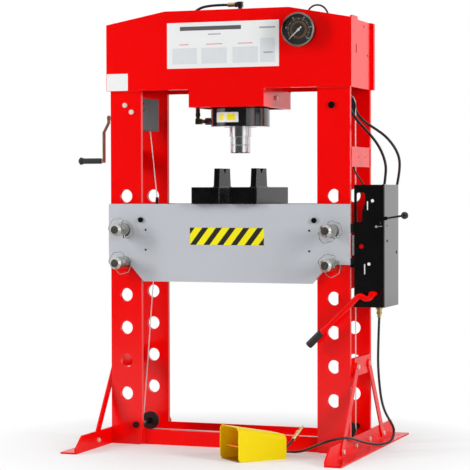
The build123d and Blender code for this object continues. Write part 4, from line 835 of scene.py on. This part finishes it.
class PRESS_OT_ropes(Operator):
    """Strings the two wire ropes and winds the spare turns on the drum"""

    bl_idname = "press.ropes"
    bl_label = "Ropes"

    def execute(self, context):
        hoist = [HOIST_TOP, tuple(np.mean([HOIST_TOP, HOIST_LOW], axis=0)), HOIST_LOW]
        for name, route in (("hoist_rope", hoist), ("balance_rope", balance_route())):
            points = even_points(nurbs_points(route), ROPE_STEP)
            strands = tube_mesh(points, ROPE_RADIUS, around=18, lobes=ROPE_STRANDS, depth=0.22)
            piece = mesh_piece(f"{name}_strands", strands, "wire", smooth=True)
            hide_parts(name)
        # a helix of radius R about the drum's axis: P(a) = (x0 + pitch a / 2 pi, R cos a, R sin a)
        pitch = looks().coil_pitch / MM
        turns = (HOIST_TOP[0] - COIL_START) / pitch
        angle = np.linspace(-2 * math.pi * turns, 0.0, int(turns * COIL_STEPS))
        coil = np.column_stack([
            HOIST_TOP[0] + pitch * angle / (2 * math.pi) - COIL_SHIFT,
            DRUM[0] + COIL_RADIUS * np.cos(angle),
            DRUM[1] - COIL_RADIUS * np.sin(angle),
        ])
        wound = tube_mesh(coil, ROPE_RADIUS, around=10, lobes=ROPE_STRANDS, depth=0.2)
        mesh_piece("drum_turns", wound, "wire", body="drum", smooth=True)
        return {"FINISHED"}


class PRESS_OT_plates(Operator):
    """Sets the bare instruction plates on the crown and the cylinder"""

    bl_idname = "press.plates"
    bl_label = "Plates"

    def execute(self, context):
        plates = (
            ("crown_label", (-281, 1703), (249, 1907), "label_white"),
            ("crown_small_label", (-578, 1609), (-474, 1686), "label_white"),
        )
        printed = (
            ("label_field_1", (-256, 1722), (-137, 1793), "label_grey"),
            ("label_field_2", (-116, 1722), (5, 1792), "label_grey"),
            ("label_field_3", (32, 1722), (151, 1793), "label_grey"),
            ("label_field_4", (162, 1722), (231, 1829), "label_grey"),
            ("label_line_1", (-221, 1807), (-178, 1810), "label_red"),
            ("label_line_2", (-92, 1807), (-17, 1810), "label_red"),
            ("label_line_3", (57, 1807), (125, 1810), "label_red"),
            ("label_heading", (-219, 1871), (72, 1889), "label_dark"),
            ("label_bar_1", (-84, 1850), (-24, 1855), "label_mid"),
            ("label_bar_2", (158, 1872), (232, 1879), "label_mid"),
            ("label_bar_3", (178, 1764), (220, 1767), "label_mid"),
        )
        for layer, front, lift in ((plates, CROWN_FACE, LABEL_LIFT),
                                   (printed, CROWN_FACE - LABEL_LIFT, PRINT_LIFT)):
            for name, low, high, finish in layer:
                mesh_piece(name, flat_plate(low, high, front, lift), finish)
        label = arc_plate(BARREL_RADIUS, LABEL_LIFT, (-122.1, -74.0), (1462, 1507))
        mesh_piece("cylinder_label", label, "label_white")
        fields = [arc_plate(BARREL_RADIUS + LABEL_LIFT, PRINT_LIFT, turn, (1471, 1499))
                  for turn in ((-113.5, -104.0), (-97.0, -81.0))]
        mesh_piece("cylinder_label_fields", joined(fields), "stripe_yellow")
        return {"FINISHED"}


class PRESS_OT_stripes(Operator):
    """Sticks the striped field on the front table plate"""

    bl_idname = "press.stripes"
    bl_label = "Stripes"

    def execute(self, context):
        low, high = STRIPE_LOW, STRIPE_HIGH
        mesh_piece("stripe_field", flat_plate(low, high, TABLE_FACE, STRIPE_LIFT),
                   "stripe_yellow")
        pitch = looks().stripe_pitch / MM
        bands = []
        for step in range(-1, int((high[0] - low[0]) / pitch) + 1):
            left = low[0] + step * pitch
            right = left + STRIPE_DARK
            outline = clipped([(left, low[1]), (right, low[1]), (right + STRIPE_LEAN, high[1]),
                               (left + STRIPE_LEAN, high[1])], low[0], high[0])
            if len(outline) > 2:
                bands.append(prism(outline, TABLE_FACE - STRIPE_LIFT, PRINT_LIFT))
        mesh_piece("stripe_bands", joined(bands), "label_black")
        return {"FINISHED"}


class PRESS_OT_dial(Operator):
    """Prints the gauge's scale: ticks, plain numbers and a coloured ring"""

    bl_idname = "press.dial"
    bl_label = "Gauge dial"

    def execute(self, context):
        centre = np.array([GAUGE[0], DIAL_FACE, GAUGE[1]])
        first, sweep = math.radians(DIAL_START), math.radians(DIAL_SWEEP)

        def tick(angle, inner, half):
            """A bar across the ring, as a prism in the dial's plane."""
            out = np.array([math.cos(angle), math.sin(angle)])
            side = np.array([-out[1], out[0]]) * half
            corners = [out * inner - side, out * TICK_END - side, out * TICK_END + side,
                       out * inner + side]
            return prism([tuple(np.array(GAUGE) + corner) for corner in corners],
                         DIAL_FACE - PRINT_LIFT, TICK_LIFT)

        inner, outer = DIAL_RING
        ring = [(inner, 0.0), (outer, 0.0), (outer, PRINT_LIFT), (inner, PRINT_LIFT)]
        mesh_piece("dial_ring", spun_mesh(ring, centre, (0, -1, 0), around=72, ring=True),
                   "dial_orange")
        ticks = []
        for step in range(TICK_STEPS + 1):
            ends = FINE_TICK if step % MAIN_EVERY else MAIN_TICK
            ticks.append(tick(first - sweep * step / TICK_STEPS, *ends))
        mesh_piece("dial_ticks", joined(ticks), "dial_white")
        count = looks().dial_numbers
        for step in range(count):
            share = step / (count - 1)
            angle = first - sweep * share
            spots, faces = number_shape(str(round(TOP_NUMBER * share)))
            at = centre + np.array([NUMBER_REACH * math.cos(angle), -PRINT_LIFT,
                                    NUMBER_REACH * math.sin(angle)])
            placed = np.column_stack([at[0] + spots[:, 0], at[1] - spots[:, 2],
                                      at[2] + spots[:, 1]])
            mesh_piece(f"dial_number_{step}", (placed, faces), "dial_white")
        return {"FINISHED"}


class PRESS_OT_hardware(Operator):
    """Adds the small screws and plain marks on the box, the table and the winch"""

    bl_idname = "press.hardware"
    bl_label = "Small hardware"

    def execute(self, context):
        def screw(name, spot, axis, radius, height, finish="black_paint"):
            """A round head with a sunk socket, turned about the screw's axis."""
            profile = [(radius, -SCREW_SINK), (radius, 0.55 * height),
                       (0.86 * radius, 0.9 * height), (0.6 * radius, height),
                       (0.42 * radius, height), (0.42 * radius, 0.35 * height)]
            mesh_piece(name, spun_mesh(profile, spot, axis, around=20), finish, smooth=True)

        for x_name, x in (("left", -388), ("right", 388)):
            for z in (979, 889):
                for y_name, y in (("front", TABLE_FACE), ("back", -TABLE_FACE)):
                    screw(f"spacer_screw_{x_name}_{y_name}_{z}", (x, y, z),
                          (0, np.sign(y), 0), 4.6, 2.2)
        for z in (1553, 1522):
            screw(f"cover_screw_{z}", (COVER_SIDE, -106, z), (1, 0, 0), 4.8, 2.6)
        for y, z in ((-117, 935), (42, 881)):
            screw(f"box_screw_{z}", (BOX_SIDE, y, z), (1, 0, 0), 6.0, 2.5)
        screw("valve_screw_side", (BOX_SIDE, -113, 1002), (1, 0, 0), 4.5, 3.0, "zinc")
        screw("valve_screw_front", (685, BOX_FACE, 998), (0, -1, 0), 6.0, 4.5, "zinc")
        marks = [flat_plate(low, high, BOX_FACE, MARK_LIFT)
                 for low, high in (((643, 1070), (648, 1108)), ((630, 790), (635, 834)))]
        marks += [disc(spot, 7, BOX_FACE, MARK_LIFT, 24) for spot in ((668, 1110), (652, 835))]
        mesh_piece("box_marks", joined(marks), "label_white")
        plug = disc(PLUG_SPOT, PLUG_RADIUS, BOX_FACE + PLUG_DEPTH, 1.0, 32)
        mesh_piece("box_plug", plug, "red_paint")
        rod = even_points([(689, -170, 998), (700, -170.2, 999), (712, -170, 1000)], 3.0)
        link = tube_mesh(rod, 1.8, around=10)
        mesh_piece("valve_link", link, "zinc", smooth=True)
        stop = flat_plate((702, 1010), (707, 1032), BOX_FACE, 3.0)
        mesh_piece("valve_stop", stop, "zinc")
        return {"FINISHED"}


class PRESS_OT_welds(Operator):
    """Lays weld beads along the seams of the frame"""

    bl_idname = "press.welds"
    bl_label = "Welds"

    def execute(self, context):
        rng = np.random.default_rng(11)
        beads = []
        # seams as (start, end, radius): at a column's foot, under the crown, beside the ties
        for side in (-1, 1):
            inner, outer = side * COLUMN_IN, side * COLUMN_OUT
            for face in (-1, 1):
                foot = (inner - side * 1.2, face * 151.2)
                crown = (face * 171.0, 1606.8)
                tie = (outer + side * 0.4, face * 149.6)
                seams = [((*foot, 3), (*foot, 66), 3.2),
                         ((inner + side * 6, *crown), (outer - side * 12, *crown), 2.6)]
                seams += [((*tie, z - TIE_SEAM), (*tie, z + TIE_SEAM), 2.4) for z in TIES]
                beads += [weld_bead(*seam, rng) for seam in seams]
        mesh_piece("weld_beads", joined(beads), "red_paint", smooth=True)
        return {"FINISHED"}


# Stage

def make_floor(tone):
    """A pale floor that the camera sees turn into the white surroundings."""
    material, nodes, shader = plain_material("pale_floor")
    place = nodes.place()
    drift = nodes.span(nodes.noise(place, 2.0), 0.3, 0.7)
    nodes.fill(shader, {"Base Color": nodes.mix(drift, grey(tone), grey(0.98 * tone)),
                        "Roughness": 0.6, "Specular IOR Level": 0.2})
    glow = nodes.add("ShaderNodeEmission")
    nodes.fill(glow, {"Color": grey(1.0), "Strength": 1.0})
    far = nodes.add("ShaderNodeVectorMath", operation="LENGTH")
    nodes.fill(far, {0: place})
    edge = nodes.span(far.outputs["Value"], *FLOOR_FADE)
    seen = nodes.add("ShaderNodeLightPath").outputs["Is Camera Ray"]
    blend = nodes.add("ShaderNodeMixShader")
    nodes.fill(blend, {0: nodes.value("MULTIPLY", edge, seen), 1: shader.outputs[0],
                       2: glow.outputs[0]})
    nodes.fill(material.node_tree.nodes["Material Output"], {"Surface": blend.outputs[0]})
    half = FLOOR_HALF
    corners = [(-half, -half, 0), (half, -half, 0), (half, half, 0), (-half, half, 0)]
    return mesh_object("floor", corners, [(0, 1, 2, 3)], material)


def make_card():
    """A dark card behind the camera, which the metal mirrors.

    An upright arc about the press: P(a, z) = (R sin a, -R cos a, z)
    """
    material, nodes, shader = plain_material("dark_card")
    weave = nodes.noise(nodes.place(), 4.0)
    nodes.fill(shader, {"Base Color": nodes.mix(weave, grey(0.08), grey(0.12)),
                        "Specular IOR Level": 0.0})
    turns = np.radians(np.linspace(*CARD_TURN, 24))
    rows = [np.column_stack([CARD_REACH * np.sin(turns), -CARD_REACH * np.cos(turns),
                             np.full(len(turns), height)]) for height in CARD_HEIGHTS]
    card = mesh_object("dark_card", np.concatenate(rows).tolist(),
                       grid_faces(2, len(turns), wrap_columns=False), material)
    card.visible_camera = False
    return card


def make_world(level):
    """White surroundings: full strength where they are seen, `level` as a light."""
    world = bpy.data.worlds.new("white_studio")
    bpy.context.scene.world = world
    world.use_nodes = True
    nodes = Nodes(world.node_tree)
    path = nodes.add("ShaderNodeLightPath")
    direct = nodes.value("MAXIMUM", path.outputs["Is Camera Ray"], path.outputs["Is Glossy Ray"])
    direct = nodes.value("MAXIMUM", direct, path.outputs["Is Transmission Ray"])
    nodes.fill(world.node_tree.nodes["Background"],
               {"Color": grey(1.0), "Strength": nodes.span(direct, 0.0, 1.0, level, 1.0)})


def lamp(name, spot, size, power, mirrored=False):
    """A soft rectangular light that looks at the press; gloss shows it if mirrored."""
    data = bpy.data.lights.new(name, "AREA")
    data.shape = "RECTANGLE"
    data.size, data.size_y = size
    data.energy = power
    light = in_scene(name, data)
    back = Vector(spot) - Vector(LAMP_AIM)
    turn = back.to_track_quat("Z", "Y").to_matrix().to_4x4()
    light.matrix_world = Matrix.Translation(spot) @ turn
    light.visible_glossy = mirrored


def make_camera():
    """The camera at the photo's angle, from its turn, its pitch and its roll."""
    data = bpy.data.cameras.new("photo_camera")
    data.sensor_width = CAMERA_SENSOR
    data.lens = CAMERA_LENS
    data.clip_end = 60.0
    camera = in_scene("photo_camera", data)
    turn, pitch, roll = (math.radians(angle) for angle in CAMERA_TURNS)
    right = Vector((math.cos(turn), math.sin(turn), 0))
    ahead = Vector((-math.sin(turn) * math.cos(pitch), math.cos(turn) * math.cos(pitch),
                    -math.sin(pitch)))
    up = right.cross(ahead)
    rolled = Matrix((math.cos(roll) * right + math.sin(roll) * up,
                     math.cos(roll) * up - math.sin(roll) * right, -ahead))
    camera.matrix_world = Matrix.Translation(CAMERA_SPOT) @ rolled.transposed().to_4x4()
    bpy.context.scene.camera = camera


class PRESS_OT_stage(Operator):
    """Sets the floor, the white surroundings, the soft lights and the camera"""

    bl_idname = "press.stage"
    bl_label = "Stage"

    def execute(self, context):
        context.scene.view_settings.view_transform = "Standard"
        floor, flag = make_floor(looks().floor_tone), make_card()
        make_world(looks().surround)
        strip = looks().strip_share
        for side, spot, width, level in SOFTBOXES:
            power = getattr(looks(), level)
            lamp(f"{side}_softbox", spot, (width, LAMP_HEIGHT), (1 - strip) * power)
            lamp(f"{side}_strip", spot, (STRIP_WIDTH * width, LAMP_HEIGHT), strip * power,
                 mirrored=True)
        make_camera()
        return {"FINISHED"}


STEPS = (PRESS_OT_finishes, PRESS_OT_stage, PRESS_OT_hoses, PRESS_OT_ropes, PRESS_OT_plates,
         PRESS_OT_stripes, PRESS_OT_dial, PRESS_OT_hardware, PRESS_OT_welds)


class PRESS_PT_panel(Panel):
    """The press's pieces and sizes, in the sidebar"""

    bl_idname = "PRESS_PT_panel"
    bl_label = "Workshop press"
    bl_space_type = "VIEW_3D"
    bl_region_type = "UI"
    bl_category = "Press"

    def draw(self, context):
        for name in PressLooks.__annotations__:
            self.layout.prop(context.scene.press_looks, name)
        for step in STEPS:
            self.layout.operator(step.bl_idname)


CLASSES = (PressLooks, *STEPS, PRESS_PT_panel)


def register():
    for item in CLASSES:
        bpy.utils.register_class(item)
    bpy.types.Scene.press_looks = PointerProperty(type=PressLooks)


def unregister():
    del bpy.types.Scene.press_looks
    for item in reversed(CLASSES):
        bpy.utils.unregister_class(item)


def main():
    """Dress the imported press, step by step."""
    register()
    for step in STEPS:
        group, name = step.bl_idname.split(".")
        done = getattr(getattr(bpy.ops, group), name)()
        if done != {"FINISHED"}:
            raise RuntimeError(f"{step.bl_label} did not finish")


if __name__ == "__main__":
    main()
